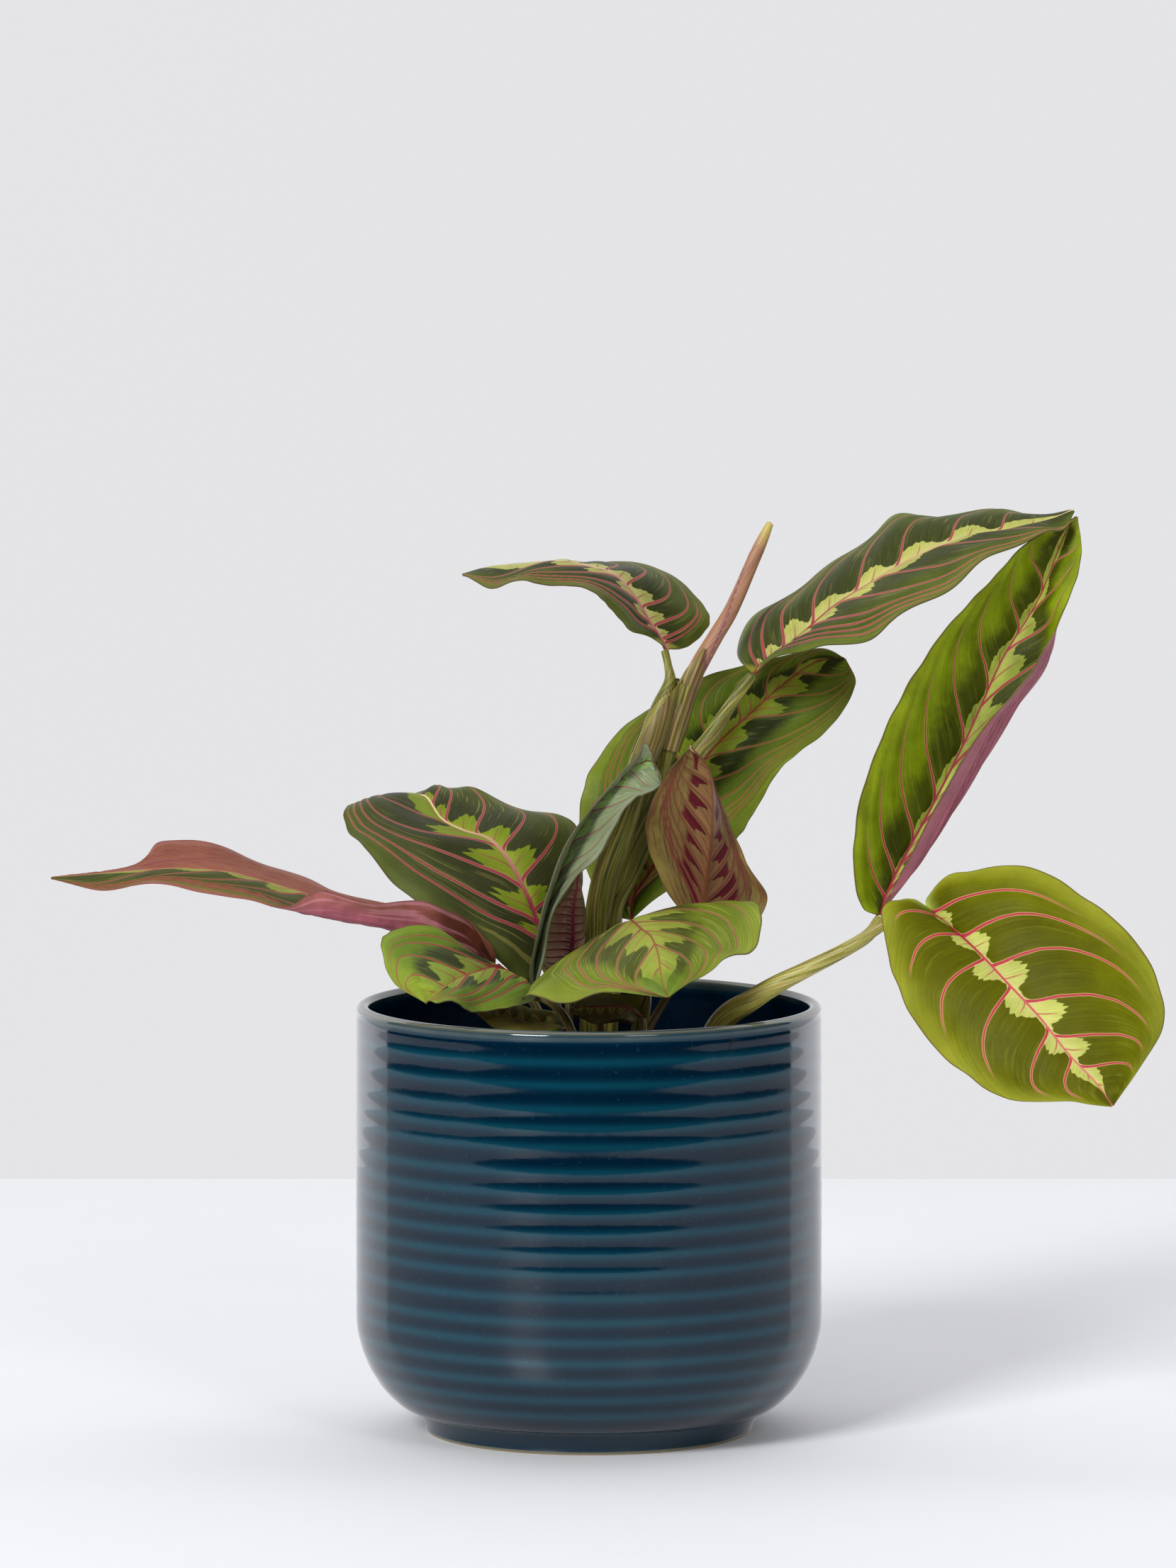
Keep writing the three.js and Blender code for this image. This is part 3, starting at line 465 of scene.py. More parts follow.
def sheathShell(rows):
    columns, step = sheath["columns"], sheath["step"]
    line, tangent = lineAlong(rows, step)
    points, faces = [], []
    for inset in (0.0, sheath["thickness"]):
        for k in range(len(line)):
            side = np.array([1.0, 0, 0]) - tangent[k] * tangent[k][0]
            side /= np.linalg.norm(side)
            turnTo = np.radians(line[k, 4] + 180 + line[k, 5] * np.linspace(-1, 1, columns + 1))
            r = line[k, 3] - inset + 0.12 * np.sin(turnTo * 3 + k * 0.35)
            ring = (r * np.cos(turnTo))[:, None] * side + (r * np.sin(turnTo))[:, None] * np.cross(tangent[k], side)
            points += (line[k, :3] + ring).tolist()
    wide, size = columns + 1, len(line) * (columns + 1)
    for k in range(len(line) - 1):
        for i in range(columns):
            a = k * wide + i
            faces += [(a, a + 1, a + wide + 1, a + wide),
                      (size + a, size + a + wide, size + a + wide + 1, size + a + 1)]
        a, b = k * wide, k * wide + columns
        faces += [(a, a + wide, size + a + wide, size + a), (b, size + b, size + b + wide, b + wide)]
    for i in range(columns):
        a, b = i, size - wide + i
        faces += [(a, size + a, size + a + 1, a + 1), (b, b + 1, size + b + 1, size + b)]
    maps = []
    for face in faces:
        for index in face:
            k, i = divmod(index % size, wide)
            girth = line[k, 3] * math.radians(line[k, 5]) * (2 * i / columns - 1)
            maps.append((stalk["sheathMap"] + k * step, girth))
    return points, faces, maps


def makeStems():
    finishes = {name: stalkMaterial(name) for name in stalk["finishes"]}
    total = 0
    for name, tubes in stems.items():
        parts = []
        for number, rows in enumerate(tubes):
            if rows[0][2] == stalk["soilLevel"]:
                x, y, z, r = rows[0]
                rows = [[x, y, z - stalk["rootDepth"], r]] + rows
            rings, along, radius, tangent = tubeRings(rows, stalk["sides"], stalk["step"], stalk["ridgeHeight"])
            tips = [rings[k].mean(axis=0) + tangent[k] * radius[k] * bulge for k, bulge in ((0, -0.3), (-1, 0.45))]
            parts.append(tubeMesh(rings, along + stalk["mapStride"] * number, radius, tips))
        plain = sum(len(part[1]) for part in parts)
        if name == "stem_centre":
            parts += [sheathShell(sheath[kind]) for kind in ("pointed", "blunt")]
        points, faces, maps = [], [], []
        for somePoints, someFaces, someMaps in parts:
            faces += [[len(points) + k for k in face] for face in someFaces]
            points += somePoints
            maps += someMaps
        skin = finishes[stalk["kinds"].get(name, "rosyLeafStalk")]
        thing = makeObject(name + "_fine", points, faces, [skin, finishes["leafSheath"]],
                           [0] * plain + [1] * (len(faces) - plain), {"stalk": maps}, 60)
        place(thing, name, "stalk")
        total += len(faces)
    print("stems: %d faces" % total)


# The newest leaf, still rolled: a spiral of one blade, pinkish outside, with its edge running round.
roll = {
    "rows": [[29, 6, 227, 2.3], [33, 6, 236.5, 2.9], [39, 6, 247, 2.6], [44, 6, 255.5, 2.5], [50, 6, 269, 2.3],
             [53.5, 6, 276.5, 1.9], [56, 6, 282, 1.2]],
    "sides": 40, "step": 0.9, "lap": 0.16, "turnRate": 0.055, "pale": "#a87c5c", "palest": "#b68e68",
    "pink": "#8f5f50", "line": "#7c4450", "tip": "#c0ac58", "roughness": 0.4, "ior": 1.42,
}


def rollMaterial():
    material, add = newMaterial("rolledNewLeaf")
    length, girth = fromMap(add, "stalk")
    slanting = add("Math ADD", girth, add("Math MULTIPLY", length, -0.12))
    lines = strands(add, length, 0.03, slanting, 1.3, 0.0, 3.0, 0.6)
    colour = add("ValToRGB", lines, stops=[(0.3, roll["pink"]), (0.5, roll["pale"]), (0.7, roll["palest"])])
    colour = add("Mix RGBA", add("MapRange", lines, 0.58, 0.62, 0.0, 0.6), colour, roll["line"])
    colour = add("Mix RGBA", add("MapRange", length, 53.0, 60.0), colour, roll["tip"])
    overlap = add("ValToRGB", fromMap(add, "seam")[0], stops=[(0.0, 0.9), (0.035, 0.2), (0.12, 0.0), (0.9, 0.0),
                                                              (0.96, 0.35), (1.0, 0.9)])
    colour = add("Mix RGBA", overlap, colour, roll["line"])
    return finishMaterial(material, colour, roll["roughness"], add("Bump", 0.5, 0.0002, None, lines), roll["ior"])


def makeRoll():
    sides = roll["sides"]
    rings, along, radius, tangent = tubeRings(roll["rows"], sides, roll["step"])
    centres = rings.mean(axis=1, keepdims=True)
    seam = (np.arange(sides) / sides + roll["turnRate"] * along[:, None] / fullTurn) % 1.0
    lift = 1 - roll["lap"] * smooth(seam, 0.02, 0.94) * (1 - smooth(seam, 0.94, 1.0))
    tips = [centres[k, 0] + tangent[k] * bulge for k, bulge in ((0, -0.2), (-1, 0.6))]
    points, faces, maps = tubeMesh(centres + (rings - centres) * lift[..., None], along, radius, tips)
    seamMap = []
    for low, high in zip(seam[:-1].ravel(), seam[1:].ravel()):
        seamMap += [(low, 0), (low + 1 / sides, 0), (high + 1 / sides, 0), (high, 0)]
    seamMap += [(0.5, 0)] * (len(maps) - len(seamMap))
    thing = makeObject("newLeafRoll", points, faces, [rollMaterial()], maps={"stalk": maps, "seam": seamMap})
    place(thing, "new_leaf_roll", "rolled_leaf")
    print("rolled leaf: %d faces" % len(faces))


# Each blade is its midrib in mm from base to tip, with the rows of its left and right edges between
# those ends, as in the solids. A bow line is where a rolled half passes halfway out, from the second
# row on. veins are where the side veins leave the midrib, in the left and the right half, and sweep
# is how far the first and last of them run towards the tip. feather is the width of the pale zone
# along the midrib as a share of the half blade, at the base, the middle and the tip. camber is how far
# each half arches at its widest, and wave and waves are the height and number of its edge's ripples.
blades = {
    "leaf_lower_right": {
        "rib": [[103, -44, 168], [106, -47, 166], [113, -54, 161], [120, -62, 155], [127, -69, 148], [136, -76, 139],
            [145, -82, 128], [153, -86, 120], [158, -89, 113]],
        "left": [[104, -42, 172], [114, -46, 180], [135, -52, 181], [153, -60, 172], [169, -68, 156], [174, -76, 138],
            [167, -82, 125]],
        "right": [[96, -44, 171], [90, -47, 168], [91, -57, 154], [98, -67, 138], [111, -76, 123], [127, -83, 115],
            [147, -87, 114]],
        "veins": [[.05, .255, .415, .57, .685, .795], [.135, .245, .375, .51, .66, .755]],
        "sweep": [[.36, .3], [.12, .36]], "feather": [[.24, .19, .16], [.24, .21, .16]],
        "camber": [3, 3], "wave": 1.2, "waves": 5, "slot": "leaf_pale",
    },
    "leaf_right_upright": {
        "rib": [[89, -37, 165], [91, -35, 171], [96, -31, 181], [105, -26, 197], [116, -21, 218], [127, -17, 242],
            [138, -15, 260], [146, -14, 280], [150, -14, 286]],
        "left": [[83, -39, 169], [81, -40, 185], [84, -38, 205], [94, -34, 229], [107, -30, 250], [122, -27, 266],
            [134, -22, 278]],
        "right": [[92, -40, 172], [98, -38, 183], [107, -37, 200], [119, -34, 220], [135, -30, 239], [147, -25, 261],
            [151, -18, 276]],
        "rightBow": [[97, -37, 175], [103, -33, 183], [115, -28, 201], [130, -22, 225], [141, -20, 243]],
        "veins": [[.1, .195, .297, .385, .485, .57, .675, .765], [.06, .14, .24, .34, .45, .55, .64, .72, .8]],
        "sweep": [[.18, .35], [.3, .3]], "feather": [[.04, .09, .13], [.11, .17, .19]],
        "camber": [-2, 0], "wave": 1.0, "waves": 5, "slot": "leaf_pale",
    },
    "leaf_upper_right": {
        "rib": [[51, 10, 235], [56, 8, 240], [66, 5, 248], [76, 2, 257], [88, -2, 265], [101, -6, 273],
            [115, -10, 279], [130, -14, 282], [141, -17, 285], [149, -19, 288]],
        "left": [[46, 20, 241], [53, 26, 253], [68, 25, 262], [82, 22, 273], [95, 16, 283], [108, 10, 284],
            [125, 2, 286], [141, -8, 285]],
        "right": [[59, -2, 242], [71, -13, 245], [84, -20, 248], [96, -25, 256], [110, -28, 265], [123, -28, 274],
            [137, -26, 281], [145, -22, 282]],
        "veins": [[.03, .085, .155, .255, .39, .5, .63, .74], [.05, .11, .16, .22, .33, .445, .59, .72]],
        "sweep": [[.15, .27], [.2, .38]], "feather": [[.22, .17, .14], [.25, .2, .17]],
        "camber": [3, 2], "wave": 1.0, "waves": 5, "slot": "leaf_dark",
    },
    "leaf_upper_left": {
        "rib": [[24, 6, 243], [22, 6, 247], [18, 4, 253], [14, 1, 260], [8, -3, 267], [0, -7, 270], [-10, -11, 272],
            [-21, -14, 271], [-31, -16, 270], [-39, -18, 268]],
        "left": [[18, 0, 248], [12, -8, 250], [8, -14, 257], [2, -20, 262], [-8, -26, 266], [-19, -30, 267],
            [-28, -30, 265], [-35, -25, 267]],
        "right": [[30, 12, 243], [37, 16, 249], [35, 20, 255], [27, 21, 265], [14, 20, 268], [-2, 14, 269],
            [-17, 6, 269], [-29, -6, 269]],
        "veins": [[.06, .16, .28, .4, .52, .66], [.03, .075, .165, .27, .38, .48, .58, .68]],
        "sweep": [[.35, .6], [.17, .17]], "feather": [[.28, .3, .24], [.24, .24, .2]],
        "camber": [1, 0], "wave": 1.0, "waves": 4, "slot": "leaf_dark",
    },
    "leaf_back": {
        "rib": [[13, 10, 158], [14, 13, 165], [20, 18, 174], [25, 22, 187], [29, 26, 196], [35, 29, 205],
            [42, 31, 213], [51, 32, 221], [61, 32, 230], [71, 31, 237], [80, 30, 238]],
        "left": [[6, 14, 161], [-2, 18, 176], [-3, 22, 190], [0, 26, 202], [9, 30, 215], [21, 32, 223], [36, 33, 232],
            [55, 33, 237], [72, 32, 241]],
        "right": [[22, 8, 166], [34, 10, 174], [42, 14, 179], [47, 18, 184], [52, 22, 191], [58, 24, 202],
            [67, 26, 210], [78, 27, 220], [83, 29, 230]],
        "veins": [[.04, .1, .17, .25, .34, .435, .545, .655, .735, .82],
            [.04, .1, .18, .28, .4, .515, .665, .74, .83]],
        "sweep": [[.3, .3], [.36, .5]], "feather": [[.3, .34, .28], [.3, .34, .26]],
        "camber": [3, 3], "wave": 1.0, "waves": 5, "slot": "leaf_green",
    },
    "leaf_russet": {
        "rib": [[35, 0, 150], [35, -2, 158], [36, -6, 168], [37, -11, 179], [38, -16, 190], [38, -20, 202],
            [36, -23, 210], [31, -26, 216]],
        "left": [[49, -3, 157], [55, -6, 166], [50, -6, 176], [45, -6, 186], [40, -10, 199], [36, -16, 209]],
        "right": [[29, 1, 161], [23, -1, 171], [18, -5, 183], [18, -10, 194], [22, -16, 203], [26, -21, 210]],
        "veins": [[.08, .16, .24, .33, .42, .52, .63, .74]] * 2,
        "sweep": [[.35, .4], [.5, .5]], "feather": [[.3, .24, .16], [.3, .26, .18]],
        "camber": [2, 2], "wave": .9, "waves": 3, "slot": "leaf_underside",
    },
    "leaf_front": {
        "rib": [[12, 0, 155], [12, -6, 158], [12, -13, 160], [13, -23, 162], [16, -37, 161], [19, -50, 160],
            [21, -61, 156], [22, -68, 150], [24, -72, 144]],
        "left": [[21, -4, 158], [37, -16, 164], [49, -27, 169], [53, -38, 164], [49, -49, 156], [41, -59, 153],
            [32, -67, 149]],
        "right": [[3, -12, 150], [-9, -26, 146], [-18, -40, 143], [-20, -48, 141], [-12, -55, 141], [-1, -62, 143],
            [10, -67, 145]],
        "veins": [[.06, .17, .3, .42, .54, .68], [.08, .2, .34, .5, .68]],
        "sweep": [[.2, .5], [.6, .9]], "feather": [[.32, .38, .36], [.26, .32, .3]],
        "camber": [1.5, 1.5], "wave": 1.4, "waves": 4, "slot": "leaf_pale",
    },
    "leaf_front_left": {
        "rib": [[-16, -27, 140], [-20, -25, 144], [-28, -28, 148], [-34, -38, 148], [-40, -47, 147], [-44, -54, 145],
            [-46, -58, 144], [-50, -60, 141]],
        "left": [[-17, -34, 139], [-24, -44, 137], [-33, -54, 138], [-39, -61, 140], [-44, -64, 142],
            [-48, -62, 142]],
        "right": [[-26, -24, 145], [-36, -32, 152], [-48, -38, 161], [-59, -42, 162], [-64, -46, 157],
            [-60, -52, 147]],
        "veins": [[.06, .15, .27, .485, .7], [.1, .3, .5, .7]],
        "sweep": [[.3, .5], [.42, .55]], "feather": [[.34, .42, .4], [.32, .38, .34]],
        "camber": [2, 1], "wave": 1.2, "waves": 3, "slot": "leaf_green",
    },
    "leaf_broad_left": {
        "rib": [[-15, 7, 147], [-15, 6, 154], [-17, 6, 161], [-20, 7, 168], [-25, 10, 177], [-31, 14, 183],
            [-39, 20, 185], [-46, 27, 188], [-51, 35, 194], [-56, 43, 193], [-59, 48, 190]],
        "left": [[-20, 3, 139], [-30, 1, 148], [-42, 0, 156], [-54, 0, 165], [-64, 2, 175], [-71, 6, 182],
            [-76, 13, 189], [-75, 23, 192], [-67, 35, 194]],
        "right": [[-12, 17, 149], [-5, 21, 160], [-2, 23, 173], [-4, 25, 186], [-15, 29, 190], [-29, 33, 194],
            [-40, 37, 197], [-46, 41, 197], [-50, 47, 194]],
        "veins": [[.05, .14, .3, .455, .65], [.05, .12, .2, .32, .43, .545, .67, .745, .83]],
        "sweep": [[.38, .65], [.12, .12]], "feather": [[.34, .32, .2], [.27, .26, .2]],
        "camber": [2, 3], "wave": 1.2, "waves": 5, "slot": "leaf_dark",
    },
    "leaf_far_left": {
        "rib": [[-29, -2, 145], [-32, -6, 148], [-38, -11, 153], [-50, -15, 159], [-66, -18, 164], [-79, -20, 168],
            [-90, -20, 171], [-100, -21, 174], [-112, -22, 177], [-127, -23, 178], [-145, -24, 177],
            [-166, -24, 175]],
        "left": [[-31, -12, 151], [-38, -20, 162], [-50, -26, 168], [-65, -30, 168], [-82, -34, 172], [-92, -35, 168],
            [-104, -34, 169], [-119, -33, 172], [-134, -31, 174], [-150, -29, 172]],
        "leftBow": [[-31, -10, 146], [-37, -18, 150], [-49, -24, 155], [-63, -28, 160], [-78, -31, 163],
            [-90, -32, 166], [-102, -31, 171], [-115, -30, 174], [-130, -29, 176], [-148, -28, 174]],
        "right": [[-30, -3, 151], [-36, -5, 158], [-48, -7, 164], [-63, -8, 165], [-77, -8, 169], [-89, -4, 173],
            [-104, -6, 179], [-118, -7, 184], [-132, -10, 185], [-140, -18, 178]],
        "veins": [[.08, .18, .29, .4, .51, .62, .73, .84]] * 2,
        "sweep": [[.75, .8], [.75, .8]], "feather": [[.14, .17, .1], [.14, .17, .1]],
        "camber": [0, 0], "wave": .5, "waves": 6, "slot": "leaf_underside",
    },
    "leaf_folded": {
        "rib": [[-17, -12, 139], [-17, -11, 148], [-14, -12, 160], [-10, -11, 173], [-5, -8, 185], [1, -6, 195],
            [9, -6, 203], [14, -6, 208], [20, -6, 209], [22, -6, 201]],
        "left": [[-18, -18, 145], [-16, -22, 157], [-13, -24, 170], [-8, -19, 183], [0, -14, 195], [8, -11, 204],
            [14, -10, 210], [18, -9, 215]],
        "right": [[-14, -18, 148], [-11, -22, 164], [-4, -24, 175], [3, -22, 182], [9, -17, 192], [14, -15, 199],
            [18, -13, 200], [22, -9, 202]],
        "veins": [[.08, .16, .24, .32, .4, .48, .57, .66, .75], [.06, .14, .24, .34, .43, .53, .63, .73]],
        "sweep": [[.2, .2], [.2, .2]], "feather": [[.24, .27, .27], [.24, .27, .24]],
        "camber": [-1, -2], "wave": .7, "waves": 4, "slot": "leaf_green",
    },
    "leaf_small_underside": {
        "rib": [[-7, -2, 140], [-6, -3, 147], [-5, -4, 154], [-5, -5, 162], [-4, -7, 169], [-3, -9, 177]],
        "left": [[-2, -4, 146], [-1, -4, 153], [-1, -4, 160], [-2, -6, 168]],
        "right": [[-13, -6, 145], [-15, -8, 152], [-12, -10, 161], [-7, -10, 168]],
        "veins": [[.1, .16, .22, .29, .36, .43, .5, .57, .64, .72, .8]] * 2,
        "sweep": [[.05, .08], [.05, .08]], "feather": [[.3, .3, .3], [.3, .3, .3]],
        "camber": [2, 2], "wave": .5, "waves": 2, "slot": "leaf_underside",
    },
    "leaf_shade_front": {
        "rib": [[16, -26, 132], [13, -28, 135], [8, -30, 136], [2, -31, 136], [-3, -31, 136], [-6, -31, 135]],
        "left": [[15, -20, 137], [9, -18, 139], [2, -19, 139], [-3, -24, 138]],
        "right": [[14, -36, 132], [9, -40, 133], [3, -41, 133], [-2, -38, 134]],
        "veins": [[.12, .24, .36, .48, .6, .72]] * 2,
        "sweep": [[.3, .3], [.3, .3]], "feather": [[.25, .25, .2], [.25, .25, .2]],
        "camber": [2, 2], "wave": .8, "waves": 2, "slot": "leaf_dark",
    },
    "leaf_shade_left": {
        "rib": [[-8, -20, 128], [-12, -24, 130], [-20, -28, 131], [-27, -31, 133], [-33, -33, 135], [-37, -36, 137]],
        "left": [[-9, -30, 127], [-16, -38, 127], [-25, -42, 130], [-32, -40, 133]],
        "right": [[-11, -17, 132], [-19, -17, 134], [-27, -19, 136], [-32, -25, 137]],
        "veins": [[.12, .24, .36, .48, .6, .72]] * 2,
        "sweep": [[.3, .3], [.3, .3]], "feather": [[.25, .25, .2], [.25, .25, .2]],
        "camber": [2, 2], "wave": .8, "waves": 2, "slot": "leaf_green",
    },
}


# The faces' colours: dark lies just outside the feather, body beyond it and margin at the edge.
# reach is where dark turns to body and veinEnd where the side veins fade, both as shares of the half.
# base and tip are a colour, where along the blade and how much; half is a colour over the right half
# and how much; lines are lengthwise ones: a colour, the share of the half where they start and how
# much. gap is how far from a side vein, in turns, the paler strip on it ends. A notch over 1 cuts the
# feather deeper. Each blade's own values come on top of these.
darkFace = {
    "dark": "#363a1a", "body": "#4a4f21", "margin": "#5c6329", "edge": "#5a4a2e", "feather": "#9a9c25",
    "core": "#c5b44e", "vein": "#9c2c40", "halo": "#c08a66", "rib": "#9a2e40", "ribTip": "#e0cda0",
    "streak": "#99914b", "streaks": 0.3, "veinWidth": 0.5, "haloWidth": 0.2, "ribWidth": 0.6, "patch": 0.3,
    "reach": (0.35, 0.85), "teeth": 0.5, "roughness": 0.46, "veinEnd": (0.8, 0.96), "mottle": 0.14, "gloss": 0.15,
    "fineDepth": 0.14, "base": None, "tip": None, "half": None, "lines": None, "gap": (0.03, 0.18), "notch": 1.0,
}
leafFaces = {
    "leaf_lower_right": {
        "dark": "#565702", "body": "#6a6d02", "margin": "#8d9026", "feather": "#b4b85c", "core": "#c2c270",
        "vein": "#b23c4b", "halo": "#dfae78", "rib": "#b03046", "ribTip": "#cf6f6c", "streak": "#a9ae3c",
        "streaks": 0.1, "veinWidth": 0.62, "haloWidth": 0.28, "patch": 0.2, "teeth": 0.75, "notch": 1.7,
        "reach": (0.4, 0.9), "veinEnd": (0.72, 0.86), "base": ("#b0bb56", 0.17, 0.9), "gloss": 0.08},
    # painted light: this blade is lit from behind, so its greens are painted brighter and yellower for the light
    # shining through it
    "leaf_right_upright": {
        "dark": "#3e4408", "body": "#748508", "margin": "#8a9918", "feather": "#98a440", "core": "#a8b050",
        "vein": "#a03a44", "halo": "#b3a860", "rib": "#9e3844", "ribTip": "#9e4448", "streak": "#a0a52a",
        "streaks": 0.25, "patch": 0.2, "reach": (0.26, 0.62), "mottle": 0.3, "veinEnd": (0.66, 0.86),
        "tip": ("#a3a83c", 0.9, 0.7)},
    "leaf_upper_right": {
        "dark": "#383e17", "body": "#4e591d", "margin": "#616f26", "feather": "#a9ab56", "core": "#b8b76a",
        "vein": "#99404a", "veinEnd": (0.92, 0.99), "base": ("#969133", 0.07, 0.8)},
    "leaf_upper_left": {
        "dark": "#343a19", "body": "#4d5822", "margin": "#646c2a", "feather": "#a8a95c", "core": "#b9b670",
        "vein": "#9d464c", "rib": "#c87c80", "base": ("#a3a046", 0.09, 0.75), "ribTip": "#ecd6c0", "ribWidth": 0.9},
    "leaf_back": {
        "dark": "#2b340a", "body": "#556813", "margin": "#69771f", "feather": "#75881f", "core": "#859129",
        "vein": "#93483c", "halo": "#8f873d", "rib": "#943a36", "ribTip": "#943a36", "streak": "#8f9a36",
        "streaks": 0.35, "patch": 0.35, "reach": (0.32, 0.52), "veinWidth": 0.4, "mottle": 0.2},
    "leaf_front": {
        "dark": "#4b521a", "body": "#6c7a1e", "margin": "#849030", "feather": "#8a9638", "core": "#969e3e",
        "vein": "#984042", "halo": "#a8945c", "rib": "#904434", "ribTip": "#8c6a3a", "streak": "#b4ba60",
        "streaks": 0.4, "reach": (0.36, 0.54), "base": ("#6a842a", 0.16, 0.7), "tip": ("#6b8428", 0.8, 0.7)},
    "leaf_front_left": {
        "dark": "#3e4428", "body": "#627a26", "margin": "#75892f", "feather": "#7f9436", "core": "#8b983e",
        "vein": "#963c3c", "halo": "#928650", "rib": "#963c3a", "ribTip": "#9c7f3c", "streak": "#96a04c",
        "patch": 0.4, "reach": (0.36, 0.58), "tip": ("#8a9a2a", 0.72, 0.8)},
    "leaf_broad_left": {
        "dark": "#34371b", "body": "#444b21", "margin": "#545e27", "feather": "#71821b", "core": "#7f8c25",
        "vein": "#913a46", "rib": "#943a46", "ribTip": "#ddc79c", "ribWidth": 0.9, "veinWidth": 0.6, "teeth": 0.7,
        "notch": 1.35, "streaks": 0.35, "veinEnd": (0.92, 0.99)},
    "leaf_far_left": {
        "dark": "#43491d", "body": "#5b6125", "margin": "#8a5248", "edge": "#8a4a4a", "feather": "#86903a",
        "core": "#98983e", "vein": "#94423f", "halo": "#94704a", "rib": "#943c40", "ribTip": "#a8705a",
        "half": ("#8e5444", 0.92), "lines": ("#743438", 0.0, 0.5)},
    "leaf_folded": {
        "dark": "#717c59", "body": "#848f6a", "margin": "#8c9a7c", "feather": "#7d9a55", "core": "#7fa05c",
        "vein": "#863c46", "halo": "#94907a", "rib": "#864844", "ribTip": "#865852", "streak": "#b2c6ac",
        "streaks": 0.6, "patch": 0.4, "reach": (0.24, 0.42), "veinWidth": 0.36},
    "leaf_shade_front": {
        "dark": "#292f0d", "body": "#3e4813", "margin": "#4f581b"},
    "leaf_shade_left": {
        "dark": "#48501a", "body": "#5c6420", "margin": "#6a6c2c", "feather": "#747c30", "core": "#7e8438",
        "vein": "#70442e", "halo": "#746c36", "rib": "#74442f", "ribTip": "#74442f"},
}

pinkBack = {
    **darkFace, "dark": "#79404a", "body": "#8c545e", "margin": "#8e6460", "edge": "#704840", "feather": "#925c5c",
    "core": "#9a6a66", "vein": "#742e3a", "halo": "#87484f", "rib": "#8a3e48", "ribTip": "#8a3e48",
    "streak": "#c08a92", "streaks": 0.35, "veinWidth": 0.34, "haloWidth": 0.25, "ribWidth": 0.8, "reach": (0.3, 0.8),
    "teeth": 0.4, "roughness": 0.5, "veinEnd": (0.85, 0.98), "gloss": 0.16, "fineDepth": 0.26,
}
oliveBack = {
    "dark": "#505a1e", "body": "#5f6a26", "margin": "#66702c", "edge": "#5c5028", "feather": "#76803a",
    "core": "#808840", "vein": "#70442e", "halo": "#746c36", "rib": "#74442f", "ribTip": "#74442f",
    "streak": "#8a9450",
}
leafBacks = {
    "leaf_lower_right": {
        "body": "#8f7050", "margin": "#94904a", "feather": "#9a9a54"},
    "leaf_right_upright": {
        "dark": "#94505c", "body": "#9c5866", "margin": "#a0646c"},
    "leaf_russet": {
        "dark": "#561620", "body": "#77663a", "margin": "#7a6a36", "feather": "#7a5c3a", "core": "#80603c",
        "vein": "#742c36", "halo": "#7a4434", "rib": "#74482c", "ribTip": "#74482c", "streak": "#622a24",
        "streaks": 0.6, "patch": 0.9, "reach": (0.4, 0.5), "veinWidth": 0.26, "haloWidth": 0.5,
        "veinEnd": (0.97, 1.0), "fineDepth": 0.34, "lines": ("#66302a", 0.36, 0.6), "gap": (0.13, 0.24)},
    "leaf_far_left": {
        "dark": "#8c4854", "body": "#9e5763", "margin": "#92584f", "streak": "#c4868e",
        # painted shade: the underside's base, deep among the stems, is painted dark brown
        "base": ("#54280f", 0.42, 0.85), "tip": ("#8a5a3c", 0.7, 0.6), "lines": ("#b87a80", 0.0, 0.6)},
    "leaf_shade_front": oliveBack,
    "leaf_shade_left": oliveBack,
    "leaf_small_underside": {
        "dark": "#8c6454", "body": "#958064", "margin": "#948a66", "feather": "#957c68", "vein": "#5c1c28",
        "rib": "#5e1c28", "streaks": 0.3, "veinWidth": 0.3},
}


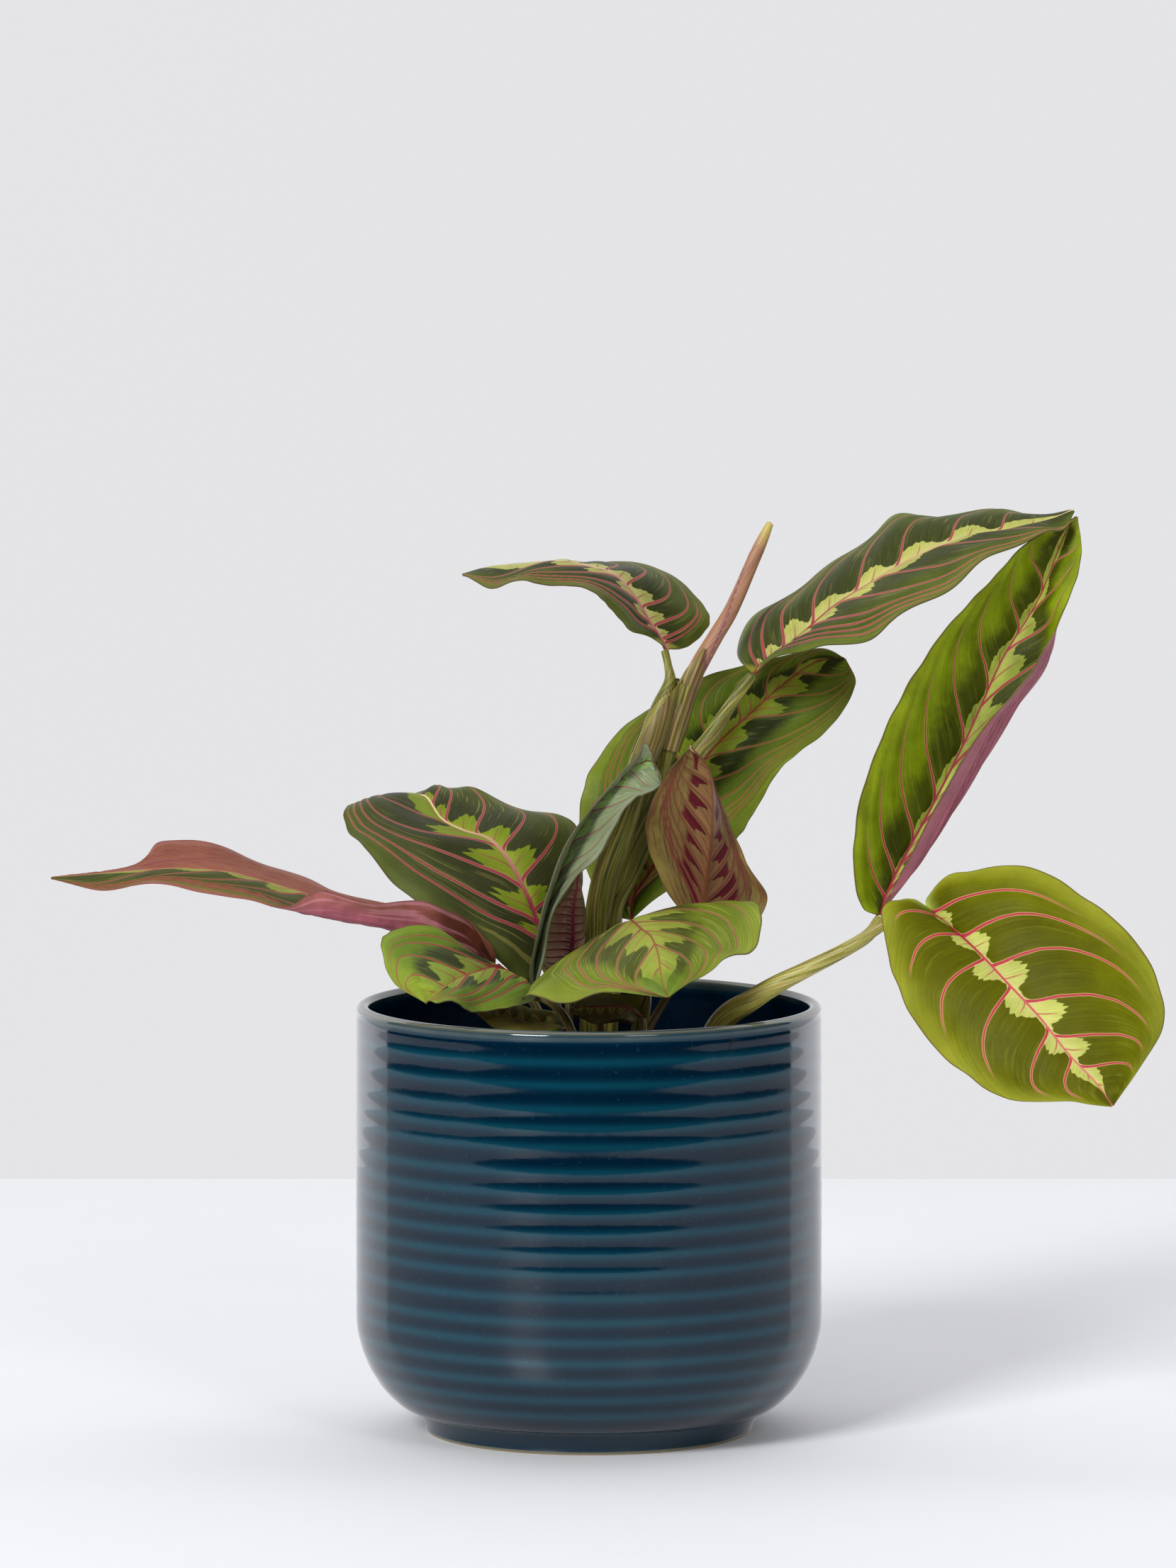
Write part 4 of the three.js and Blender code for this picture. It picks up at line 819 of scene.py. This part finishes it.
def leafMaterial(name, look, seed):
    # Leaf blade: green cells under a waxy skin. It gives a satin gloss, fine lines between the side
    # veins, and here a pale feather along the midrib with red veins.
    material, add = newMaterial(name)
    where, layer = add("TexCoord", out=3), float(seed)
    turn, feather = fromMap(add, "veins")
    spacing, fromRib = fromMap(add, "lengths")
    along, across = fromMap(add, "place")
    out = add("Math ABSOLUTE", across)
    sway = add("TexNoise", where, 130.0, 2.0, 0.5)             # about 8 mm: the veins aren't quite even
    turn = add("Math ADD", turn, add("Math MULTIPLY_ADD", sway, 0.07, -0.035))
    nearest = add("Math PINGPONG", turn, 0.5)
    part = add("Math FRACT", turn)
    key = add("CombineXYZ", add("Math FLOOR", turn), add("Math SIGN", across), layer)
    chance = add("TexWhiteNoise", key, noise_dimensions="3D")
    # the feather's edge: a lobe from each side vein towards the tip, then a notch before the next one
    lobe = add("ValToRGB", part, stops=[(0.0, 0.74), (0.1, 0.92), (0.28, 1.0), (0.44, 0.88), (0.6, 0.58),
                                        (0.72, 0.34), (0.88, 0.26), (1.0, 0.44)])
    teeth = look["teeth"]
    many = add("MapRange", chance, 0.0, 1.0, 2.0 + 2.0 * teeth, 2.6 + 3.4 * teeth)
    tooth = add("Math PINGPONG", add("Math MULTIPLY", turn, many), 0.5)
    tooth = add("Math ADD", tooth, add("Math MULTIPLY", out, 1.4))
    tooth = add("Math PINGPONG", tooth, 0.5)                   # the teeth lean towards the tip
    ragged = add("TexNoise", where, 420.0, 3.0, 0.6)           # about 2.4 mm: ragged cells at the edge
    lobe = add("Math POWER", lobe, look["notch"])
    edge = add("Math MULTIPLY", lobe, add("Math MULTIPLY_ADD", tooth, 1.1 * teeth, 1 - 0.3 * teeth))
    edge = add("Math MULTIPLY", edge, add("MapRange", chance, 0.0, 1.0, 0.85, 1.2))
    edge = add("Math ADD", edge, add("Math MULTIPLY_ADD", ragged, 0.15, -0.075))
    past = add("Math SUBTRACT", feather, edge)
    inFeather = add("MapRange SMOOTHSTEP", past, 0.035, -0.035)
    # lines that run with the side veins: hair-fine ones about 0.5 mm apart and sparse pale streaks
    fine = strands(add, turn, 26.0, out, 1.6, layer)
    dashes = strands(add, turn, 15.0, out, 2.4, layer + 7.0, 1.0, 0.4)
    cloud = add("TexNoise", where, 70.0, 4.0, 0.6)             # about 14 mm: uneven green
    # from the dark wedges to the margin
    spread = add("Math ADD", out, add("Math MULTIPLY_ADD", cloud, 0.3, -0.15))
    spread = add("Math ADD", spread, add("MapRange", chance, 0.0, 1.0, -0.08, 0.08))
    fade = add("MapRange SMOOTHSTEP", spread, *look["reach"])
    between = add("MapRange SMOOTHSTEP", nearest, *look["gap"], look["patch"], 0.0)
    green = add("Mix RGBA", add("Math MAXIMUM", fade, between), look["dark"], look["body"])
    green = add("Mix RGBA", add("MapRange SMOOTHSTEP", out, 0.72, 1.0), green, look["margin"])
    streak = add("MapRange SMOOTHSTEP", dashes, 0.6, 0.68, 0.0, look["streaks"])
    streak = add("Math MULTIPLY", streak, add("MapRange", out, 0.15, 0.5, 0.3, 1.0))
    green = add("Mix RGBA", streak, green, look["streak"])
    pale = add("Mix RGBA", add("MapRange", feather, 0.15, 0.7), look["core"], look["feather"])
    colour = add("Mix RGBA", inFeather, green, pale)
    # some blades are paler at the base or yellow at the tip, and one underside has painted shade at its base
    ends = add("Math ADD", along, add("Math MULTIPLY_ADD", cloud, 0.1, -0.05))
    for end, limit, run in (("base", 0, 0.6), ("tip", 1, 0.5)):
        if look[end]:
            tint, start, share = look[end]
            amount = add("MapRange SMOOTHSTEP", ends, start, start + (limit - start) * run, 0.0, share)
            colour = add("Mix RGBA", amount, colour, tint)
    if look["half"]:
        side = add("MapRange", across, -0.02, 0.02, 0.0, look["half"][1])
        colour = add("Mix RGBA", side, colour, look["half"][0])
    if look["lines"]:
        tint, start, share = look["lines"]
        lines = strands(add, across, 15.0, along, 4.0, layer + 3.0)                  # about 1.5 mm apart
        lines = add("MapRange SMOOTHSTEP", lines, 0.5, 0.58, 0.0, share)
        lines = add("Math MULTIPLY", lines, add("MapRange", out, start, start + 0.2))
        lines = add("Math MULTIPLY", lines, side) if look["half"] else lines
        colour = add("Mix RGBA", lines, colour, tint)
    shade = add("Math MULTIPLY", add("MapRange", cloud, 0.3, 0.7, 1 - look["mottle"], 1 + look["mottle"]),
                add("MapRange", fine, 0.3, 0.7, 1 - look["fineDepth"], 1 + look["fineDepth"]))
    colour = add("Mix RGBA", 1.0, colour, add("CombineXYZ", shade, shade, shade), blend_type="MULTIPLY")
    # the side veins: a cream halo and a red line that thins and fades towards the margin
    fading = add("MapRange SMOOTHSTEP", out, *look["veinEnd"], 1.0, 0.0)
    half = add("MapRange", out, 0.0, 0.9, look["veinWidth"], look["veinWidth"] * 0.45)
    half = add("Math MULTIPLY", half, add("MapRange", along, 0.1, 1.0, 1.1, 0.5))
    overVein = add("Math SUBTRACT", add("Math MULTIPLY", nearest, spacing), half)
    for low, high, share, tint in ((look["haloWidth"], 0.0, 0.7, "halo"), (0.05, -0.12, 1.0, "vein")):
        line = add("MapRange SMOOTHSTEP", overVein, low, high, 0.0, share)
        colour = add("Mix RGBA", add("Math MULTIPLY", line, fading), colour, look[tint])
    # one thin red branch inside each lobe
    branch = add("Math ABSOLUTE", add("Math SUBTRACT", part, 0.4))
    branch = add("MapRange SMOOTHSTEP", add("Math MULTIPLY", branch, spacing), 0.3, 0.12, 0.0, 0.75)
    branch = add("Math MULTIPLY", branch, add("MapRange", feather, 0.45, 0.9, 1.0, 0.0))
    colour = add("Mix RGBA", branch, colour, look["vein"])
    # the midrib
    ribHalf = add("MapRange", along, 0.0, 1.0, look["ribWidth"], look["ribWidth"] * 0.3)
    ribLine = add("MapRange SMOOTHSTEP", add("Math SUBTRACT", fromRib, ribHalf), 0.15, -0.12)
    ribColour = add("Mix RGBA", add("MapRange", along, 0.25, 0.8), look["rib"], look["ribTip"])
    colour = add("Mix RGBA", ribLine, colour, ribColour)
    colour = add("Mix RGBA", add("MapRange", out, 0.982, 0.994, 0.0, 0.8), colour, look["edge"])
    grain = add("TexNoise", where, 1500.0, 2.0, 0.5)           # about 0.7 mm: cells of the skin
    roughness = add("MapRange", grain, 0.3, 0.7, look["roughness"] - 0.06, look["roughness"] + 0.08)
    height = add("Math ADD", add("Math MULTIPLY", fine, 0.6), add("Math MULTIPLY", grain, 0.4))
    return finishMaterial(material, colour, roughness, add("Bump", 0.6, 0.0003, None, height), gloss=look["gloss"])


# In mm: how fine the net of a blade is, its thickness, and its relief between the veins, along the
# midrib above and below, over the whole blade and along its edge. ends are where the net starts and
# stops on the way from base to tip, so that it has a width there.
leafBuild = {
    "step": 0.95, "thickness": 0.36, "quilting": 0.42, "groove": 0.35, "ribRelief": 0.7, "ribReach": 1.1,
    "ripple": 0.2, "crenation": 0.28, "edgeFrom": 0.7, "ends": (0.006, 0.996),
}


def edgeRows(blade, side):
    # a half's edge from base to tip, where it meets the midrib
    return np.array([blade["rib"][0]] + blade[side] + [blade["rib"][-1]], float)


def bladePoints(blade, t, v):
    # the middle surface of a blade, in mm, with its left edge at v = -1 and its right edge at 1
    ribRows = np.array(blade["rib"], float)
    rows = {side: edgeRows(blade, side) for side in ("left", "right")}
    rib, inside = spline(ribRows, t), np.clip(t, 0.03, 0.97)     # the ends have no width to take a normal from
    tangent = spline(ribRows, inside + 1e-3) - spline(ribRows, inside - 1e-3)
    normal = np.cross(spline(rows["right"], inside) - spline(rows["left"], inside), tangent)
    normal /= np.linalg.norm(normal, axis=1)[:, None]
    widest = max(np.linalg.norm(rows[side] - ribRows, axis=1).max() for side in rows)
    taper = np.minimum(1, 4 * np.minimum(t, 1 - t))
    halves = []
    for side, sign, phase, camber in zip(rows, (-1, 1), (0.37, 0), blade["camber"]):
        edge = spline(rows[side], t)
        centre, width = (rib + edge) / 2, np.linalg.norm(edge - rib, axis=1)
        through = centre + normal * (camber * width / widest)[:, None]
        if side + "Bow" in blade:
            bow = (ribRows + rows[side]) / 2
            bow[1:1 + len(blade[side + "Bow"])] = blade[side + "Bow"]
            through = spline(bow, t)
        outward = (edge - rib) / np.maximum(width, 1e-6)[:, None]
        notches = outward * (leafBuild["crenation"] * wander(t * 60, sign * 5, len(t)) * taper)[:, None]
        waves = normal * (blade["wave"] * taper * np.sin(fullTurn * (blade["waves"] * t + phase)))[:, None]
        halves.append((edge, 2 * through - centre, waves, notches))
    points = np.empty((len(t), len(v), 3))
    for j, across in enumerate(v):
        s = abs(across)
        edge, handle, waves, notches = halves[0 if across < 0 else 1]
        points[:, j] = (1 - s) ** 2 * rib + 2 * s * (1 - s) * handle + s * s * edge
        points[:, j] += waves * s ** 3 + notches * max(s - leafBuild["edgeFrom"], 0) / (1 - leafBuild["edgeFrom"])
    return points


# How the side veins run outwards. Each climbs by its sweep towards the tip within reach, a share of
# the half blade, and bend is the part of the climb that comes late. Past ease it levels off in the
# room left. start is a short rise beside the midrib, over startRun, and apart keeps neighbours apart.
veinRun = {"reach": 0.75, "bend": 0.28, "ease": 0.8, "room": 0.19, "start": 0.015, "startRun": 0.05, "apart": 0.022}


def veinTurns(starts, sweep, t, s):
    # rises by one from each side vein to the next, so whole numbers are veins
    bend, ease, room = veinRun["bend"], veinRun["ease"], veinRun["room"]
    starts = np.array(starts)[:, None]
    lift = np.linspace(sweep[0], sweep[1], len(starts))[:, None]
    x = s[None, :] / veinRun["reach"]
    run = lift * ((1 - bend) * x + bend * x ** 5)
    run = np.where(run < ease, run, ease + room * (1 - np.exp(-(run - ease) / room)))
    lines = starts + (1 - starts) * run + veinRun["start"] * (1 - np.exp(-s[None, :] / veinRun["startRun"]))
    for k in range(1, len(lines)):          # veins that catch up run on side by side
        lines[k] = np.maximum(lines[k], lines[k - 1] + veinRun["apart"])
    turns = np.empty((len(t), len(s)))
    for j in range(len(s)):
        line = lines[:, j]
        turns[:, j] = np.interp(t, line, np.arange(1, len(line) + 1))
        low, high = t < line[0], t > line[-1]
        turns[low, j] = 0.5 + 0.5 * np.exp(-2 * (line[0] - t[low]) / (line[1] - line[0]))
        turns[high, j] = len(line) + 0.5 - 0.5 * np.exp(-2 * (t[high] - line[-1]) / (line[-1] - line[-2]))
    return turns


def spacingOf(points, values):
    # how many mm of surface one step of the values takes
    pu, pv = np.gradient(points, axis=0), np.gradient(points, axis=1)
    fu, fv = np.gradient(values, axis=0), np.gradient(values, axis=1)
    e, f, g = (pu * pu).sum(-1), (pu * pv).sum(-1), (pv * pv).sum(-1)
    slope = (g * fu * fu - 2 * f * fu * fv + e * fv * fv) / np.maximum(e * g - f * f, 1e-6)
    return np.clip(1 / np.sqrt(np.maximum(slope, 1e-6)), 0.6, 60)


def makeBlade(name, seed):
    blade, step = blades[name], leafBuild["step"]
    widest = max(np.linalg.norm(edgeRows(blade, side) - np.array(blade["rib"], float), axis=1).max()
                 for side in ("left", "right"))
    rows, half = int(lengthOf(blade["rib"]) / step), max(8, int(widest * 1.15 / step))
    t, v = np.linspace(*leafBuild["ends"], rows + 1), np.linspace(-1, 1, 2 * half + 1)
    s = np.abs(v)
    middle = bladePoints(blade, t, v)
    normal = np.cross(np.gradient(middle, axis=1), np.gradient(middle, axis=0))
    normal /= np.maximum(np.linalg.norm(normal, axis=2), 1e-9)[..., None]
    reach = np.cumsum(np.linalg.norm(np.diff(middle, axis=1, prepend=middle[:, :1]), axis=2), axis=1)
    fromRib = np.abs(reach - reach[:, half:half + 1])
    sides = []
    for side, columns in ((0, np.arange(half, -1, -1)), (1, np.arange(half, 2 * half + 1))):
        turns = veinTurns(blade["veins"][side], blade["sweep"][side], t, s[columns])
        # the feather narrows to a quarter just before the tip
        wide = np.interp(t, [0, 0.5, 1], blade["feather"][side]) * (1 - 0.75 * smooth(t, 0.84, 0.97))
        sides.append((turns, spacingOf(middle[:, columns], turns), s[columns] / wide[:, None]))
    # what is drawn on the blade: here the midrib's column comes twice, once for each half
    turns, spacing, feather = (np.concatenate([left[:, ::-1], right], axis=1) for left, right in zip(*sides))
    split = np.r_[0:half + 1, half:2 * half + 1]
    taper = smooth(s, 0.0, 0.12) * (1 - smooth(s, 0.8, 1.0)) * smooth(t, 0, 0.06)[:, None]
    relief = leafBuild["quilting"] * np.sin(math.pi * np.delete(turns, half, axis=1)) ** 2 * taper
    relief += leafBuild["ripple"] * wander(t[:, None] * 9, v * 3, seed) * smooth(s, 0.2, 1)
    dip = np.exp(-(fromRib / leafBuild["ribReach"]) ** 2) * (1 - 0.75 * t)[:, None]
    points = [middle + normal * (relief + side * leafBuild["thickness"] / 2 - leafBuild[key] * dip)[..., None]
              for side, key in ((1, "groove"), (-1, "ribRelief"))]
    # each face by the row, column and layer of its corners: both faces, the left and right rim, base and tip
    i, j = np.indices((rows, 2 * half)).reshape(2, -1, 1)
    down, over = np.arange(rows)[:, None], np.arange(2 * half)[:, None]
    last, inner = np.array([[0, 0, 1, 1], [0, 1, 1, 0]])
    faces, fieldAt, slots, bake = [], [], [], []     # the bake has both faces side by side over the rim's strip
    for i, j, addRow, addColumn, layer in (
            (i, j, last, inner, 0), (i, j, inner, last, 1),
            (down, 0, inner, 0, last), (down, 2 * half, last, 0, inner),
            (0, over, 0, last, inner), (rows, over, 0, inner, last)):
        row, column = np.broadcast_arrays(i + addRow, j + addColumn)
        faces.append((row + layer * (rows + 1)) * len(v) + column)
        fieldAt.append((row * len(split) + column + (j >= half)).ravel())
        face = np.ndim(layer) == 0
        slots += [layer if face else 0] * len(row)
        if face:
            bake.append((0.01 + 0.48 * (1.04 * layer + column / (2 * half)), 0.03 + 0.96 * row / rows))
    faces, fieldAt = np.concatenate(faces).tolist(), np.concatenate(fieldAt)
    rim = 2 * (rows + 2 * half)
    bake.append(np.broadcast_arrays(0.01 + 0.97 * (np.arange(rim)[:, None] + inner) / rim, 0.004 + 0.01 * last))

    def drawn(first, second):
        return np.stack([first.ravel(), second.ravel()], -1)[fieldAt]

    maps = {
        "veins": drawn(turns, feather),
        "lengths": drawn(spacing, fromRib[:, split]),
        "place": drawn(*np.broadcast_arrays(t[:, None], v[split])),
        "OFBake": np.stack([np.concatenate(part).ravel() for part in zip(*bake)], -1),
    }
    materials = [leafMaterial(name + "_upperFace", {**darkFace, **leafFaces.get(name, {})}, seed),
                 leafMaterial(name + "_underFace", {**pinkBack, **leafBacks.get(name, {})}, seed + 50)]
    thing = makeObject(name + "_fine", np.concatenate(points).reshape(-1, 3), faces, materials, slots, maps, sharp=70)
    place(thing, name, blade["slot"])
    return len(faces)


# The camera stands at the photograph's angle: 3.1 m in front, 0.53 m up, looking 5.9 degrees down.
view = {"at": (-0.0003, -3.138, 0.526), "down": 5.9, "lens": 234.13, "sensor": 36.0}


def makeCamera():
    data = bpy.data.cameras.new("photoCamera")
    data.lens, data.sensor_width, data.clip_start, data.clip_end = view["lens"], view["sensor"], 0.05, 50
    camera = bpy.data.objects.new("photoCamera", data)
    camera.location = view["at"]
    camera.rotation_euler = (math.radians(90 - view["down"]), 0, 0)
    scene.collection.objects.link(camera)
    scene.camera = camera


# A plain pale studio: a white table against a light grey paper wall, and big soft lights.
studio = {
    "table": "#ebecef", "tableMarks": "#eeeff2", "wall": "#e5e5e7", "wallMarks": "#e4e4e6", "panel": "#fbfbff",
    "wallAt": 0.55, "wallTop": 4.0, "far": 9.0, "mirrorLift": 0.0004,
    # how far the table reached in that room, and where the lit panels stand, in m
    "mirrorFront": 0.6, "mirrorSide": 1.1, "sidePanels": (0.0, 1.13), "panelTop": 1.6, "panelGlow": (0.9, 1.75),
    "room": 0.315, "mirroredRoom": 0.012, "shownRoom": 0.78, "roomTint": (1.0, 1.0, 1.015, 1.0),
    "lights": [
        # name, where, aimed at, width, height, watts
        ("keyBox", (-3.0, -4.9, 3.5), (0.0, 0.0, 0.14), 1.9, 1.9, 318),
        ("fillBox", (1.6, -3.0, 2.2), (0.0, 0.0, 0.14), 1.0, 1.2, 19),
        ("topBox", (0.0, 0.3, 1.7), (0.0, 0.3, 0.0), 1.6, 0.9, 4.3),
    ],
}


def stagePlane(name, corners, material, glossy=True, diffuse=True, camera=True, shadow=False):
    mesh = bpy.data.meshes.new(name)
    mesh.from_pydata(corners, [], [(0, 1, 2, 3)])
    mesh.materials.append(material)
    plane = bpy.data.objects.new(name, mesh)
    scene.collection.objects.link(plane)
    plane.visible_glossy, plane.visible_diffuse, plane.visible_camera = glossy, diffuse, camera
    plane.visible_shadow = shadow


def tablePaint(name, roughness):
    # emulsion on board: flat, with faint roller marks
    material, add = newMaterial(name)
    marks = add("TexNoise", add("TexCoord", out=3), 14.0, 3.0, 0.5)
    return finishMaterial(material, add("Mix RGBA", marks, studio["table"], studio["tableMarks"]), roughness)


def makeStudio():
    far, back, high, front, side, lift = (
        studio[key] for key in ("far", "wallAt", "wallTop", "mirrorFront", "mirrorSide", "mirrorLift"))
    stagePlane("tableShown", [(-far, -far, 0), (far, -far, 0), (far, far, 0), (-far, far, 0)],
               tablePaint("mattPaintedTable", 0.7), glossy=False, shadow=True)
    # the same table as the glaze mirrors it
    stagePlane("tableMirrored", [(-side, -front, lift), (side, -front, lift), (side, back, lift), (-side, back, lift)],
               tablePaint("satinPaintedTable", 0.3), diffuse=False, camera=False)
    paper, add = newMaterial("seamlessPaperWall")               # evenly lit paper, shown from its front only
    even = add("Mix RGBA", add("TexNoise", add("TexCoord", out=3), 2.0, 2.0, 0.5), studio["wall"], studio["wallMarks"])
    lit = add("MixShader", add("NewGeometry", out=6), add("Emission", even, 1.0), add("BsdfTransparent"))
    add("OutputMaterial", lit, out=None)
    stagePlane("paperWall", [(-far, back, 0), (far, back, 0), (far, back, high), (-far, back, high)], paper,
               glossy=False)
    panel, add = newMaterial("litSidePanel")                    # the bright ends of the wall, seen in the glaze
    sideways = add("Math ABSOLUTE", add("SeparateXYZ", add("TexCoord", out=3), out=0))
    add("OutputMaterial", add("Emission", studio["panel"], add("MapRange", sideways, 0.07, 0.6, *studio["panelGlow"])),
        out=None)
    (inner, outer), top = studio["sidePanels"], studio["panelTop"]
    for name, x0, x1 in (("leftPanel", -outer, -inner), ("rightPanel", inner, outer)):
        stagePlane(name, [(x0, back, 0), (x1, back, 0), (x1, back, top), (x0, back, top)], panel, diffuse=False,
                   camera=False)
    for name, at, aim, width, height, watts in studio["lights"]:
        data = bpy.data.lights.new(name, "AREA")
        data.shape, data.size, data.size_y, data.energy = "RECTANGLE", width, height, watts
        light = bpy.data.objects.new(name, data)
        light.location = at
        light.rotation_euler = (Vector(aim) - Vector(at)).to_track_quat("-Z", "Y").to_euler()
        scene.collection.objects.link(light)
    world = scene.world or bpy.data.worlds.new("studioRoom")
    scene.world = world
    world.use_nodes = True
    world.node_tree.nodes.clear()
    add = partial(addNode, world.node_tree)
    # pale to the eye, even for soft light, and nearly dark where the glaze mirrors it
    rays = add("LightPath", out=None)
    glow = add("Mix FLOAT", rays.outputs["Is Glossy Ray"], studio["room"], studio["mirroredRoom"])
    glow = add("Mix FLOAT", rays.outputs["Is Camera Ray"], glow, studio["shownRoom"])
    add("OutputWorld", add("Background", studio["roomTint"], glow), out=None)


makeCamera()
makeStudio()
makePot()
makeSoil()
makeStems()
makeRoll()
total = 0
for seed, leafName in enumerate(blades):
    total += makeBlade(leafName, seed + 1)
print("leaves: %d faces" % total)
